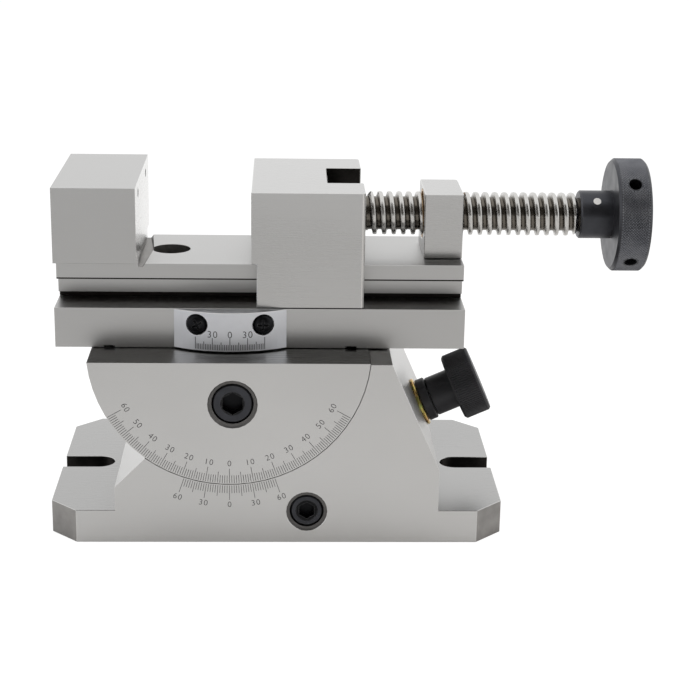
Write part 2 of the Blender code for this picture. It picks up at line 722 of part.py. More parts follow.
def make_wheel_sector(tilt):
    """The worm wheel's sector: teeth for the worm, and side flanges that hold the cradle down."""
    half = SECTOR_WIDTH / 2
    teeth = skewed(prism(tooth_outline(), -half, half, "XZ"))
    sector = piece("worm_wheel_sector", teeth, BRIGHT_STEEL, tilt)
    low, high = sector_range()
    for side in (-1, 1):
        strip = ring_part(FLANGE_RADIUS, FLANGE_RADIUS + FLANGE_THICKNESS, low, high)
        reach = sorted((side * (half - FLANGE_ROOTING), side * FLANGE_WIDTH / 2))
        fuse(sector, prism(strip, reach[0], reach[1], "XZ"))
    top = -CRADLE_DROP - SECTOR_SCREW_SINK
    tip = top - M6[2] - SECTOR_SCREW_LENGTH
    for x in (-SECTOR_SCREW_X, SECTOR_SCREW_X):
        cut(sector, placed(cylinder(M6[0] + GAP, tip - GAP, top, SMALL_FACETS), place(x, 0, 0)))
    places = {"left": place(-SECTOR_SCREW_X, 0, top), "right": place(SECTOR_SCREW_X, 0, top)}
    screw_set("sector_screw", socket_screw(M6, SECTOR_SCREW_LENGTH), places, tilt)


def swivel_lock_matrix():
    """Place of the swivel lock screw in the cradle's frame, Z out of the hole."""
    return place(SWIVEL_LOCK_SHIFT, -BASE_DEPTH / 2, -CRADLE_DROP - SWIVEL_LOCK_DROP) @ HEAD_FRONT


def make_swivel_lock(tilt):
    """The brass pad in the spindle's groove and the socket screw that presses it."""
    tip = SPINDLE_NECK_RADIUS + GAP - BASE_DEPTH / 2
    pad = cylinder(M10[0], tip, tip - GAP + SWIVEL_PAD_LENGTH, SMALL_FACETS)
    pad = piece("swivel_lock_pad", placed(pad, swivel_lock_matrix()), BRONZE, tilt)
    cut(pad, cylinder(SPINDLE_NECK_RADIUS + GAP, -CRADLE_RADIUS, 0))
    screw_pivot = pivot("swivel_lock_pivot", tilt, swivel_lock_matrix())
    screw = placed(socket_screw(M10, SWIVEL_LOCK_LENGTH, ROUND_FACETS), place(0, 0, -LOCK_SINK))
    piece("swivel_lock_screw", screw, BLACK_OXIDE, screw_pivot)


# Worm and its knob

def make_worm():
    """The worm shaft, its bushes, and the collar and knob on its outer end."""
    journal_start = -WORM_HALF - GAP
    bush_outer = JOURNAL_RADIUS + JOURNAL_BUSH_WALL + GAP
    bore = JOURNAL_RADIUS + GAP
    start = journal_start - GAP
    end = start - JOURNAL_LENGTH
    end_bush = turned([(bore, start), (bush_outer, start), (bush_outer, end), (bore, end)], SMALL_FACETS)
    piece("worm_end_bush", placed(end_bush, worm_matrix()), BRONZE, None)

    bush_bore = SHAFT_RADIUS + GAP
    face = FACE_REACH + GAP
    bush = turned([(bush_bore, face + BUSH_FLANGE), (BUSH_FLANGE_RADIUS, face + BUSH_FLANGE),
                   (BUSH_FLANGE_RADIUS, face), (BUSH_RADIUS, face), (BUSH_RADIUS, face - BUSH_LENGTH),
                   (bush_bore, face - BUSH_LENGTH)])
    piece("worm_bush", placed(bush, worm_matrix()), YELLOW_ZINC, None)

    turn = pivot("worm_pivot", None, worm_matrix())
    thrust_end = face - BUSH_LENGTH - GAP
    thrust_start = thrust_end - THRUST_COLLAR_LENGTH
    collar_start = face + BUSH_FLANGE + GAP
    hub_start = collar_start + COLLAR_LENGTH + GAP
    hub_end = hub_start + KNOB_HUB_LENGTH
    shaft_end = hub_start + KNOB_BORE_DEPTH - GAP
    shaft = turned([(0, shaft_end), (SHAFT_RADIUS, shaft_end), (SHAFT_RADIUS, thrust_end),
                    (THRUST_COLLAR_RADIUS, thrust_end), (THRUST_COLLAR_RADIUS, thrust_start),
                    (SHAFT_RADIUS, thrust_start), (SHAFT_RADIUS, WORM_HALF), (WORM_ROOT_RADIUS, WORM_HALF),
                    (WORM_ROOT_RADIUS, journal_start), (JOURNAL_RADIUS, journal_start),
                    (JOURNAL_RADIUS, end), (0, end)], SMALL_FACETS)
    shaft = piece("worm_shaft", shaft, BRIGHT_STEEL, turn)
    pin_middle = hub_start + KNOB_HUB_LENGTH / 2
    across = Matrix.Rotation(math.pi / 2, 4, "X")
    pin_bore = placed(cylinder(KNOB_PIN_RADIUS + GAP, -KNOB_RADIUS, KNOB_RADIUS, SMALL_FACETS),
                      place(0, 0, pin_middle) @ Matrix.Rotation(-math.pi / 4, 4, "Z") @ across)
    cut(shaft, pin_bore)
    lean = math.tan(FLANK_LEAN)
    pitch_width = WORM_PITCH * RIDGE_SHARE
    root_width = pitch_width + 2 * (WORM_PITCH_RADIUS - WORM_ROOT_RADIUS + GAP) * lean
    crest_width = pitch_width - 2 * (WORM_CREST_RADIUS - WORM_PITCH_RADIUS) * lean
    ridge = helix_ridge(WORM_ROOT_RADIUS, WORM_CREST_RADIUS, root_width, crest_width,
                        WORM_PITCH, WORM_TURNS, WORM_STEPS)
    fuse(shaft, placed(ridge, Matrix.Rotation(math.pi * WORM_TURNS, 4, "Z")))

    collar = turned([(bush_bore, collar_start + COLLAR_LENGTH), (COLLAR_RADIUS, collar_start + COLLAR_LENGTH),
                     (COLLAR_RADIUS, collar_start), (bush_bore, collar_start)])
    piece("worm_collar", collar, BLACK_OXIDE, turn)

    knob_end = hub_end + KNOB_LENGTH
    bore_end = hub_start + KNOB_BORE_DEPTH
    knob = turned([(0, knob_end), (KNOB_RADIUS - KNOB_CHAMFER, knob_end),
                   (KNOB_RADIUS, knob_end - KNOB_CHAMFER), (KNOB_RADIUS, hub_end + KNOB_CHAMFER),
                   (KNOB_RADIUS - KNOB_CHAMFER, hub_end), (KNOB_HUB_RADIUS, hub_end),
                   (KNOB_HUB_RADIUS, hub_start), (bush_bore, hub_start), (bush_bore, bore_end),
                   (0, bore_end)])
    knob = piece("worm_knob", knob, BLACK_OXIDE, turn)
    cut(knob, pin_bore.copy())
    pin = placed(cylinder(KNOB_PIN_RADIUS, -KNOB_HUB_RADIUS, KNOB_HUB_RADIUS, SMALL_FACETS),
                 place(0, 0, pin_middle) @ Matrix.Rotation(-math.pi / 4, 4, "Z") @ across)
    piece("worm_knob_pin", pin, BRIGHT_STEEL, turn)


# Vise body

def side_channel():
    """The outline of the channel along the body's side: undercut, web and rail edge."""
    outer = VISE_WIDTH / 2 + OVERRUN
    widths = (outer, UNDERCUT_WIDTH / 2, WEB_WIDTH / 2, RAIL_WIDTH / 2, outer)
    heights = (BLOCK_HEIGHT, WEB_BOTTOM, RAIL_BOTTOM, JAW_BOTTOM)
    points = []
    for height, below, above in zip(heights, widths, widths[1:]):
        points += [(below, height), (above, height)]
    return points


def side_names(left, right):
    """The two sides of a pair, each with its sign."""
    return ((left, -1), (right, 1))


def nut_screw_places(height):
    """Places of the two screws that hold the nut block from below."""
    middle = VISE_RIGHT - NUT_LENGTH / 2
    return {label: place(middle, side * NUT_SCREW_SPREAD / 2, height) @ HEAD_DOWN
            for label, side in side_names("front", "rear")}


def make_vise_body(swivel):
    """The vise body: fixed jaw, guide rail and every hole for what is fastened to it."""
    half = VISE_WIDTH / 2
    body = piece("vise_body", box((-VISE_LEFT, -half, 0), (VISE_RIGHT, half, JAW_TOP)), GROUND_STEEL, swivel)
    channel = prism(side_channel(), -VISE_LEFT - OVERRUN, VISE_RIGHT + OVERRUN, "YZ")
    other_side = place(VISE_RIGHT - VISE_LEFT, 0, 0) @ Matrix.Rotation(math.pi, 4, "Z")
    cut(body, channel, placed(channel.copy(), other_side))
    above = [(-FIXED_FACE, JAW_TOP + OVERRUN), (-FIXED_FACE, RAIL_TOP - RELIEF_DEPTH),
             (-FIXED_FACE + RELIEF_WIDTH, RAIL_TOP - RELIEF_DEPTH), (-FIXED_FACE + RELIEF_WIDTH, RAIL_TOP),
             (VISE_RIGHT + OVERRUN, RAIL_TOP), (VISE_RIGHT + OVERRUN, JAW_TOP + OVERRUN)]
    cut(body, prism(above, -half - OVERRUN, half + OVERRUN, "XZ"))
    for side in (-1, 1):
        hole = placed(cylinder(FACE_HOLE_RADIUS, -FACE_HOLE_DEPTH, OVERRUN, SMALL_FACETS), HEAD_RIGHT)
        cut(body, placed(hole, place(-FIXED_FACE, side * FACE_HOLE_SPREAD / 2, JAW_TOP - FACE_HOLE_DROP)))
    cut(body, cylinder(SPINDLE_FLANGE_RADIUS + GAP, -OVERRUN, SPINDLE_FLANGE + GAP, FINE_FACETS))
    ring = turned([(RING_INNER, RING_DEPTH), (RING_OUTER, RING_DEPTH), (RING_OUTER, -OVERRUN),
                   (RING_INNER, -OVERRUN)], FINE_FACETS)
    cut(body, ring)
    for side in (-1, 1):
        hole = rail_hole()
        cut(body, placed(hole, place(side * RAIL_HOLE_SPREAD / 2, 0, RAIL_TOP)))
    for matrix in nut_screw_places(0).values():
        sink = NUT_SCREW_FLOOR - M5[2] - GAP
        hole = screw_hole(M5, sink, RAIL_TOP - NUT_SCREW_FLOOR + OVERRUN, GAP)
        cut(body, placed(hole, matrix))
    depth = PLATE_SCREW_LENGTH - PLATE_SCREW_FLOOR - GAP
    for side in (-1, 1):
        hole = placed(cylinder(M4[0] + GAP, -depth, OVERRUN, SMALL_FACETS), HEAD_FRONT)
        cut(body, placed(hole, place(side * PLATE_SCREW_SPREAD / 2, -half, BLOCK_HEIGHT - PLATE_SCREW_DROP)))
    return body


def rail_hole():
    """The counterbored hole in the rail over each spindle screw."""
    floor = RAIL_HOLE_FLOOR - RAIL_TOP
    bore = M8[0] + GAP
    return turned([(0, OVERRUN), (RAIL_HOLE_RADIUS, OVERRUN), (RAIL_HOLE_RADIUS, floor), (bore, floor),
                   (bore, -RAIL_TOP), (0, -RAIL_TOP)])


def make_spindle(swivel):
    """The swivel spindle let into the body's underside, and the two screws that hold it."""
    neck_middle = -SWIVEL_LOCK_DROP - GAP
    neck_top = neck_middle + M10[0] + GAP
    neck_end = neck_middle - M10[0] - GAP
    spindle = turned([(0, SPINDLE_FLANGE), (SPINDLE_FLANGE_RADIUS, SPINDLE_FLANGE),
                      (SPINDLE_FLANGE_RADIUS, 0), (SPINDLE_RADIUS, 0), (SPINDLE_RADIUS, neck_top),
                      (SPINDLE_NECK_RADIUS, neck_top), (SPINDLE_NECK_RADIUS, neck_end),
                      (SPINDLE_RADIUS, neck_end), (SPINDLE_RADIUS, -SPINDLE_LENGTH),
                      (0, -SPINDLE_LENGTH)], FINE_FACETS)
    spindle = piece("swivel_spindle", spindle, BRIGHT_STEEL, swivel)
    for side in (-1, 1):
        hole = cylinder(M8[0] + GAP, -OVERRUN, SPINDLE_FLANGE + OVERRUN, SMALL_FACETS)
        cut(spindle, placed(hole, place(side * RAIL_HOLE_SPREAD / 2, 0, 0)))
    head_top = RAIL_HOLE_FLOOR + GAP + M8[2]
    places = {label: place(side * RAIL_HOLE_SPREAD / 2, 0, head_top)
              for label, side in side_names("left", "right")}
    screw_set("spindle_screw", socket_screw(M8, RAIL_HOLE_FLOOR), places, swivel)


def nut_outline():
    """The nut block's outline from above, rounded at its rear right edge."""
    left = VISE_RIGHT - NUT_LENGTH
    half = NUT_WIDTH / 2
    turns = [math.pi / 2 * step / SMALL_FACETS for step in range(0, SMALL_FACETS + 1, 2)]
    corner = [(VISE_RIGHT - NUT_CORNER + NUT_CORNER * math.cos(a),
               half - NUT_CORNER + NUT_CORNER * math.sin(a)) for a in turns]
    return [(left, -half), (VISE_RIGHT, -half), *corner, (left, half)]


def make_nut_block(swivel):
    """The block on the rail that carries the bronze nut, with its screws from below."""
    bottom = RAIL_TOP + GAP
    block = piece("nut_block", prism(nut_outline(), bottom, RAIL_TOP + NUT_HEIGHT), GROUND_STEEL, swivel)
    along = place(0, 0, SCREW_HEIGHT) @ HEAD_RIGHT
    left = VISE_RIGHT - NUT_LENGTH
    cut(block, placed(cylinder(NUT_RADIUS + GAP, left - OVERRUN, VISE_RIGHT + OVERRUN), along))
    for matrix in nut_screw_places(0).values():
        tip = RAIL_TOP + NUT_SCREW_BITE + GAP
        cut(block, placed(cylinder(M5[0] + GAP, -tip, -RAIL_TOP + OVERRUN, SMALL_FACETS), matrix))
    bore = SCREW_CREST_RADIUS + GAP
    nut = turned([(bore, VISE_RIGHT), (NUT_RADIUS, VISE_RIGHT), (NUT_RADIUS, left), (bore, left)])
    piece("screw_nut", placed(nut, along), BRONZE, swivel)
    length = RAIL_TOP + NUT_SCREW_BITE - NUT_SCREW_FLOOR
    places = nut_screw_places(NUT_SCREW_FLOOR - M5[2] - GAP)
    screw_set("nut_block_screw", socket_screw(M5, length), places, swivel)


def make_index_plate(swivel):
    """The round-fronted index plate and its two pan head screws."""
    back = VISE_WIDTH / 2 + GAP
    edge = math.acos(back / PLATE_RADIUS)
    plate = prism(arc(PLATE_RADIUS, -edge, edge), GAP, BLOCK_HEIGHT)
    plate = piece("index_plate", plate, GROUND_STEEL, swivel)
    floor = back + PLATE_SCREW_FLOOR
    for side in (-1, 1):
        seat = cylinder(PAN_HEAD_RADIUS + GAP, 0, OVERRUN + PLATE_RADIUS - floor, ROUND_FACETS)
        bore = cylinder(M4[0] + GAP, -OVERRUN - PLATE_SCREW_FLOOR, OVERRUN, SMALL_FACETS)
        matrix = place(side * PLATE_SCREW_SPREAD / 2, -floor, BLOCK_HEIGHT - PLATE_SCREW_DROP) @ HEAD_FRONT
        cut(plate, placed(seat, matrix), placed(bore, matrix))
    head = floor + GAP + PAN_HEAD_HEIGHT
    places = {label: place(side * PLATE_SCREW_SPREAD / 2, -head, BLOCK_HEIGHT - PLATE_SCREW_DROP) @ HEAD_FRONT
              for label, side in side_names("left", "right")}
    screw_set("index_plate_screw", pan_screw(M4[0], PLATE_SCREW_LENGTH), places, swivel)


# Moving jaw

def jaw_outline():
    """The moving jaw's outline from the front: working face, top and skirt."""
    skirt = BLOCK_HEIGHT + GAP
    return [(0, MOVING_JAW_TOP), (0, JAW_BOTTOM), (JAW_RECESS, JAW_BOTTOM), (JAW_RECESS, skirt),
            (JAW_LENGTH, skirt), (JAW_LENGTH, MOVING_JAW_TOP)]


def keeper_screw_places(height):
    """Places of the four keeper screws in the jaw's frame."""
    along = {"left": JAW_RECESS + KEEPER_SCREW_INSET, "right": JAW_LENGTH - KEEPER_SCREW_INSET}
    return {f"{end}_{label}": place(along[label], side * KEEPER_SCREW_Y, height) @ HEAD_DOWN
            for label in along for end, side in side_names("front", "rear")}


def make_moving_jaw(slide):
    """The moving jaw, which wraps the rail's flange, with its rear pocket for the screw."""
    half = VISE_WIDTH / 2
    jaw = piece("moving_jaw", prism(jaw_outline(), -half, half, "XZ"), GROUND_STEEL, slide)
    rail = RAIL_WIDTH / 2 + GAP
    cut(jaw, box((-OVERRUN, -rail, 0), (JAW_LENGTH + OVERRUN, rail, RAIL_TOP + GAP)))
    inside = half - SKIN
    cut(jaw, box((-OVERRUN, -inside, 0), (JAW_LENGTH + OVERRUN, inside, RAIL_BOTTOM)))
    floor = RAIL_TOP + POCKET_FLOOR
    cut(jaw, box((NECK_START, -POCKET_WIDTH / 2, floor),
                 (JAW_LENGTH + OVERRUN, POCKET_WIDTH / 2, MOVING_JAW_TOP + OVERRUN)))
    along = place(0, 0, SCREW_HEIGHT) @ HEAD_RIGHT
    nose_bottom = NECK_START - NOSE_LENGTH - BUTTON_THICKNESS - 2 * GAP
    cut(jaw, placed(cylinder(NOSE_RADIUS + GAP, nose_bottom, NECK_START + OVERRUN), along))
    for matrix in keeper_screw_places(RAIL_BOTTOM).values():
        cut(jaw, placed(cylinder(M3[0] + GAP, -KEEPER_SCREW_LENGTH, OVERRUN, SMALL_FACETS), matrix))
    for matrix in retainer_screw_places(NECK_START).values():
        cut(jaw, placed(cylinder(M3[0] + GAP, -RETAINER_SCREW_LENGTH, OVERRUN, SMALL_FACETS), matrix))
    for side in (-1, 1):
        wedge = chamfer_wedge(JAW_LENGTH, side * half, JAW_CHAMFER, 0, MOVING_JAW_TOP + OVERRUN)
        cut(jaw, wedge)
    button = cylinder(NOSE_RADIUS, nose_bottom + GAP, nose_bottom + GAP + BUTTON_THICKNESS)
    piece("thrust_button", placed(button, along), BRIGHT_STEEL, slide)


def make_keepers(slide):
    """The two keeper plates under the rail's flange, and their screws."""
    inner = WEB_WIDTH / 2 + KEEPER_INNER
    outer = VISE_WIDTH / 2 - SKIN - GAP
    low = BLOCK_HEIGHT + 2 * GAP
    high = RAIL_BOTTOM - GAP
    for end, side in side_names("front", "rear"):
        reach = sorted((side * inner, side * outer))
        plate = box((JAW_RECESS, reach[0], low), (JAW_LENGTH, reach[1], high))
        plate = piece(f"keeper_{end}", plate, GROUND_STEEL, slide)
        for matrix in keeper_screw_places(low).values():
            if matrix.translation.y * side > 0:
                cut(plate, placed(screw_hole(M3, GAP, high, GAP), matrix))
    length = KEEPER_SCREW_LENGTH + RAIL_BOTTOM - low - M3[2] - 3 * GAP
    screw_set("keeper_screw", socket_screw(M3, length), keeper_screw_places(low + GAP), slide)


def retainer_screw_places(x):
    """Places of the two screws through the retainer plate, at x along the jaw."""
    height = SCREW_HEIGHT + RETAINER_SCREW_RISE
    return {label: place(x, side * RETAINER_SCREW_Y, height) @ HEAD_RIGHT
            for label, side in side_names("front", "rear")}


def make_retainer(slide):
    """The forked plate in the jaw's pocket that holds the screw's neck, and its screws."""
    half = POCKET_WIDTH / 2 - GAP
    start = NECK_START + GAP
    end = start + RETAINER_THICKNESS
    floor = RAIL_TOP + POCKET_FLOOR
    plate = box((start, -half, floor + GAP), (end, half, SCREW_HEIGHT + RETAINER_RISE))
    plate = piece("screw_retainer", plate, BRIGHT_STEEL, slide)
    fork = NECK_RADIUS + GAP
    along = place(0, 0, SCREW_HEIGHT) @ HEAD_RIGHT
    cut(plate, placed(cylinder(fork, start - OVERRUN, end + OVERRUN), along))
    cut(plate, box((start - OVERRUN, -fork, floor - OVERRUN), (end + OVERRUN, fork, SCREW_HEIGHT)))
    for matrix in retainer_screw_places(end).values():
        cut(plate, placed(cylinder(M3[0] + GAP, -RETAINER_THICKNESS - OVERRUN, OVERRUN, SMALL_FACETS), matrix))
    length = RETAINER_SCREW_LENGTH + RETAINER_THICKNESS - GAP
    places = retainer_screw_places(end + GAP + M3[2])
    screw_set("retainer_screw", socket_screw(M3, length), places, slide)


# Clamp screw and handwheel

def make_clamp_screw(turn):
    """The clamp screw with its right-hand trapezoid thread."""
    end = WHEEL_END - GAP
    core = turned([(0, end), (NOSE_RADIUS, end), (NOSE_RADIUS, HUB_START), (SCREW_ROOT_RADIUS, HUB_START),
                   (SCREW_ROOT_RADIUS, THREAD_START), (SCREW_COLLAR_RADIUS, THREAD_START),
                   (SCREW_COLLAR_RADIUS, COLLAR_START), (NECK_RADIUS, COLLAR_START),
                   (NECK_RADIUS, NECK_START), (NOSE_RADIUS, NECK_START),
                   (NOSE_RADIUS, NECK_START - NOSE_LENGTH), (0, NECK_START - NOSE_LENGTH)], SMALL_FACETS)
    screw = piece("clamp_screw", core, BRIGHT_STEEL, turn)
    cut(screw, placed(cylinder(WHEEL_PIN_RADIUS + GAP, -HUB_RADIUS, HUB_RADIUS, SMALL_FACETS),
                      wheel_pin_matrix()))
    turns = min(SCREW_TURNS, int(THREAD_LENGTH / SCREW_PITCH) - 1)
    ridge = helix_ridge(SCREW_ROOT_RADIUS, SCREW_CREST_RADIUS, SCREW_PITCH * SCREW_ROOT_SHARE,
                        SCREW_PITCH * SCREW_CREST_SHARE, SCREW_PITCH, turns, SCREW_STEPS)
    half_facet = Matrix.Rotation(math.pi / SMALL_FACETS, 4, "Z")
    fuse(screw, placed(ridge, place(0, 0, THREAD_START + THREAD_LENGTH / 2) @ half_facet))


def wheel_pin_matrix():
    """Place of the pin across the handwheel's hub, its own axis along Z."""
    middle = HUB_START + GAP + HUB_LENGTH / 2
    return (place(0, 0, middle) @ Matrix.Rotation(SCREW_CLOCK, 4, "Z")
            @ Matrix.Rotation(math.pi / 2, 4, "Y"))


def make_handwheel(turn):
    """The round handwheel with its hub, its tommy bar holes and its cross pin."""
    start = HUB_START + GAP
    bore = NOSE_RADIUS + GAP
    wheel = turned([(bore, WHEEL_END), (WHEEL_RADIUS - WHEEL_CHAMFER, WHEEL_END),
                    (WHEEL_RADIUS, WHEEL_END - WHEEL_CHAMFER), (WHEEL_RADIUS, WHEEL_START + WHEEL_CHAMFER),
                    (WHEEL_RADIUS - WHEEL_CHAMFER, WHEEL_START), (HUB_RADIUS, WHEEL_START),
                    (HUB_RADIUS, start), (bore, start)], FINE_FACETS)
    wheel = piece("handwheel", wheel, BLACK_OXIDE, turn)
    for index in range(TOMMY_COUNT):
        angle = SCREW_CLOCK + 2 * math.pi * index / TOMMY_COUNT
        matrix = (place(0, 0, WHEEL_START + WHEEL_LENGTH / 2) @ Matrix.Rotation(angle, 4, "Z")
                  @ Matrix.Rotation(math.pi / 2, 4, "Y"))
        hole = cylinder(TOMMY_RADIUS, WHEEL_RADIUS - TOMMY_DEPTH, WHEEL_RADIUS + OVERRUN, SMALL_FACETS)
        cut(wheel, placed(hole, matrix))
    across = cylinder(WHEEL_PIN_RADIUS + GAP, -HUB_RADIUS - OVERRUN, HUB_RADIUS + OVERRUN, SMALL_FACETS)
    cut(wheel, placed(across, wheel_pin_matrix()))
    pin = cylinder(WHEEL_PIN_RADIUS, -HUB_RADIUS, HUB_RADIUS, SMALL_FACETS)
    piece("handwheel_pin", placed(pin, wheel_pin_matrix()), BRIGHT_STEEL, turn)


def main():
    """Build the vise, body by body."""
    clear_scene()
    collection("sine_tilting_vise")
    collection("cutters")
    make_base()
    make_tilt_lock()
    make_worm()
    tilt = pivot("tilt_pivot", None, place(0, 0, TILT_AXIS_HEIGHT))
    make_cradle(tilt)
    make_wheel_sector(tilt)
    make_swivel_lock(tilt)
    swivel = pivot("swivel_pivot", tilt, place(0, 0, GAP - CRADLE_DROP))
    make_vise_body(swivel)
    make_spindle(swivel)
    make_nut_block(swivel)
    make_index_plate(swivel)
    slide = pivot("jaw_slide", swivel, place(JAW_OPENING - FIXED_FACE, 0, 0))
    make_moving_jaw(slide)
    make_keepers(slide)
    make_retainer(slide)
    screw_turn = pivot("screw_pivot", slide, place(0, 0, SCREW_HEIGHT) @ HEAD_RIGHT)
    make_clamp_screw(screw_turn)
    make_handwheel(screw_turn)


main()
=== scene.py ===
import json
import math

import bmesh
import bpy
from bpy.props import FloatProperty, FloatVectorProperty, IntProperty, PointerProperty
from mathutils import Matrix, Vector


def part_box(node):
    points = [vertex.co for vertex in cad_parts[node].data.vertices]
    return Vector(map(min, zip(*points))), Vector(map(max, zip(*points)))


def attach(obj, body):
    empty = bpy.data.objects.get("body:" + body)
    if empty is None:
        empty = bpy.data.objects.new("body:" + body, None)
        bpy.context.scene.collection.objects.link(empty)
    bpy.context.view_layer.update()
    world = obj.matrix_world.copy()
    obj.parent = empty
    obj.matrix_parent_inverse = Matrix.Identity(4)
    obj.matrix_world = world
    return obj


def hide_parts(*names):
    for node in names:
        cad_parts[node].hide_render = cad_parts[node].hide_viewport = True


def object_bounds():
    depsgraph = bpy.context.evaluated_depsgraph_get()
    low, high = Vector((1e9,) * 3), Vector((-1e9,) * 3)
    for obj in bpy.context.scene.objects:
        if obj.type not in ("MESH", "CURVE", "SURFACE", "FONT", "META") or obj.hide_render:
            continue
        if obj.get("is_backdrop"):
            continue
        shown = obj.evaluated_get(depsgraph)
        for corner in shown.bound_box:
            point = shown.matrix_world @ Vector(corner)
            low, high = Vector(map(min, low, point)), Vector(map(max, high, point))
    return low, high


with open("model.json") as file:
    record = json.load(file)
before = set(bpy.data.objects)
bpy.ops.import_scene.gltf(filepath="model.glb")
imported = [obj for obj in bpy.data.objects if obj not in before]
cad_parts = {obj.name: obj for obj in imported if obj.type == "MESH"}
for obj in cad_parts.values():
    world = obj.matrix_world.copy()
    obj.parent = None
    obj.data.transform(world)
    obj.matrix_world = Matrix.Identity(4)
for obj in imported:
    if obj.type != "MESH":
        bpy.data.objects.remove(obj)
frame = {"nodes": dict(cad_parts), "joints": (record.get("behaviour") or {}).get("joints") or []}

bl_info = {
    "name": "Tilting Swivel Vise",
    "version": (1, 0, 0),
    "blender": (4, 5, 0),
    "location": "View3D > Sidebar > Vise",
    "description": "Dresses a tilting and swivelling precision vise and lights it on a pale floor",
    "category": "Object",
}

MM = 0.001
CAD_LOW, CAD_HIGH = (Vector(corner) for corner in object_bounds())
JOINTS = {joint["name"]: joint for joint in frame["joints"]}
MERGE = 0.000001
SHARP = math.radians(32)
FACET = math.radians(17)
TEXT_SIZE_SHARE = 1.4
TEXT_THIN_SHARE = 0.012
JAW_OPENING = 45.7 * MM

# Frames of the round pieces, read from the joints and from the CAD nodes
TILT_AXIS = Vector(JOINTS["tilt"]["pos_m"])
SCREW_AXIS = Vector(JOINTS["screw_turn"]["pos_m"])
WORM_POINT = Vector(JOINTS["worm_turn"]["pos_m"])
WORM_AXIS = Vector(JOINTS["worm_turn"]["axis"]).normalized()
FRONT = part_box("cradle")[0].y
CRADLE_RADIUS = TILT_AXIS.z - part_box("cradle")[0].z
JAW_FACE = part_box("moving_jaw")[0].x - JAW_OPENING
BLOCK_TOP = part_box("index_plate")[1].z
RAIL_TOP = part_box("nut_block")[0].z
PLATE_RADIUS = max(vertex.co.xy.length for vertex in frame["nodes"]["index_plate"].data.vertices)


# Settings

class ViseEdges(bpy.types.PropertyGroup):
    """Sizes of the broken edges."""

    chamfer: FloatProperty(name="Edge chamfer", description="Leg of the broken edge on the ground blocks",
                           default=0.28 * MM, min=0.0, subtype="DISTANCE", unit="LENGTH")
    round_segments: IntProperty(name="Turned segments", description="Segments round each turned piece",
                                default=96, min=24, max=256)


class ViseSteel(bpy.types.PropertyGroup):
    """Colours of the metals and of the painted shades."""

    ground: FloatVectorProperty(name="Ground steel", description="Colour of the surface ground blocks",
                                default=(0.56, 0.557, 0.55), subtype="COLOR", size=3, min=0.0, max=1.0)
    ground_roughness: FloatProperty(name="Ground roughness", description="Roughness of the ground blocks",
                                    default=0.27, min=0.0, max=1.0, subtype="FACTOR")
    # Painted shade: near-black colour laid on slots, holes, pockets and the undercut, where shade falls
    recess_shade: FloatVectorProperty(name="Recess shade", description="Colour of the slots, holes and pockets",
                               default=(0.035, 0.032, 0.030), subtype="COLOR", size=3, min=0.0, max=1.0)
    satin: FloatVectorProperty(name="Satin steel", description="Colour of the index plate",
                               default=(0.74, 0.75, 0.78), subtype="COLOR", size=3, min=0.0, max=1.0)
    # Painted shade: grey laid on the base's cut corners, the body's drilled holes and the relief groove,
    # partly their machined finish and partly shade
    machined_and_shaded: FloatVectorProperty(name="Machined steel and shade", description="Colour of the base's cut corners",
                                default=(0.34, 0.33, 0.32), subtype="COLOR", size=3, min=0.0, max=1.0)
    bright: FloatVectorProperty(name="Bright steel", description="Colour of the turned bright steel",
                                default=(0.66, 0.65, 0.63), subtype="COLOR", size=3, min=0.0, max=1.0)
    black: FloatVectorProperty(name="Black oxide", description="Colour of the blackened steel",
                               default=(0.030, 0.031, 0.035), subtype="COLOR", size=3, min=0.0, max=1.0)
    zinc: FloatVectorProperty(name="Yellow zinc", description="Colour of the plated bush flange",
                              default=(0.72, 0.50, 0.16), subtype="COLOR", size=3, min=0.0, max=1.0)
    bronze: FloatVectorProperty(name="Bronze", description="Colour of the bronze nut and pads",
                                default=(0.50, 0.31, 0.13), subtype="COLOR", size=3, min=0.0, max=1.0)


class ViseMarks(bpy.types.PropertyGroup):
    """Sizes of the engraved scales."""

    line: FloatProperty(name="Line width", description="Width of an engraved line",
                        default=0.21 * MM, min=0.0, subtype="DISTANCE", unit="LENGTH")
    minor: FloatProperty(name="Short line", description="Length of a one degree line",
                         default=3.3 * MM, min=0.0, subtype="DISTANCE", unit="LENGTH")
    middle: FloatProperty(name="Middle line", description="Length of a five degree line",
                          default=4.7 * MM, min=0.0, subtype="DISTANCE", unit="LENGTH")
    major: FloatProperty(name="Long line", description="Length of a ten degree line",
                         default=6.2 * MM, min=0.0, subtype="DISTANCE", unit="LENGTH")
    digit: FloatProperty(name="Digit height", description="Height of an engraved number",
                         default=2.5 * MM, min=0.0, subtype="DISTANCE", unit="LENGTH")
    vernier_step: FloatProperty(name="Vernier step", description="Angle between two vernier lines",
                                default=math.radians(0.938), subtype="ANGLE", unit="ROTATION")
    index_step: FloatProperty(name="Index step", description="Angle between two lines of the index plate",
                              default=math.radians(4.83), subtype="ANGLE", unit="ROTATION")


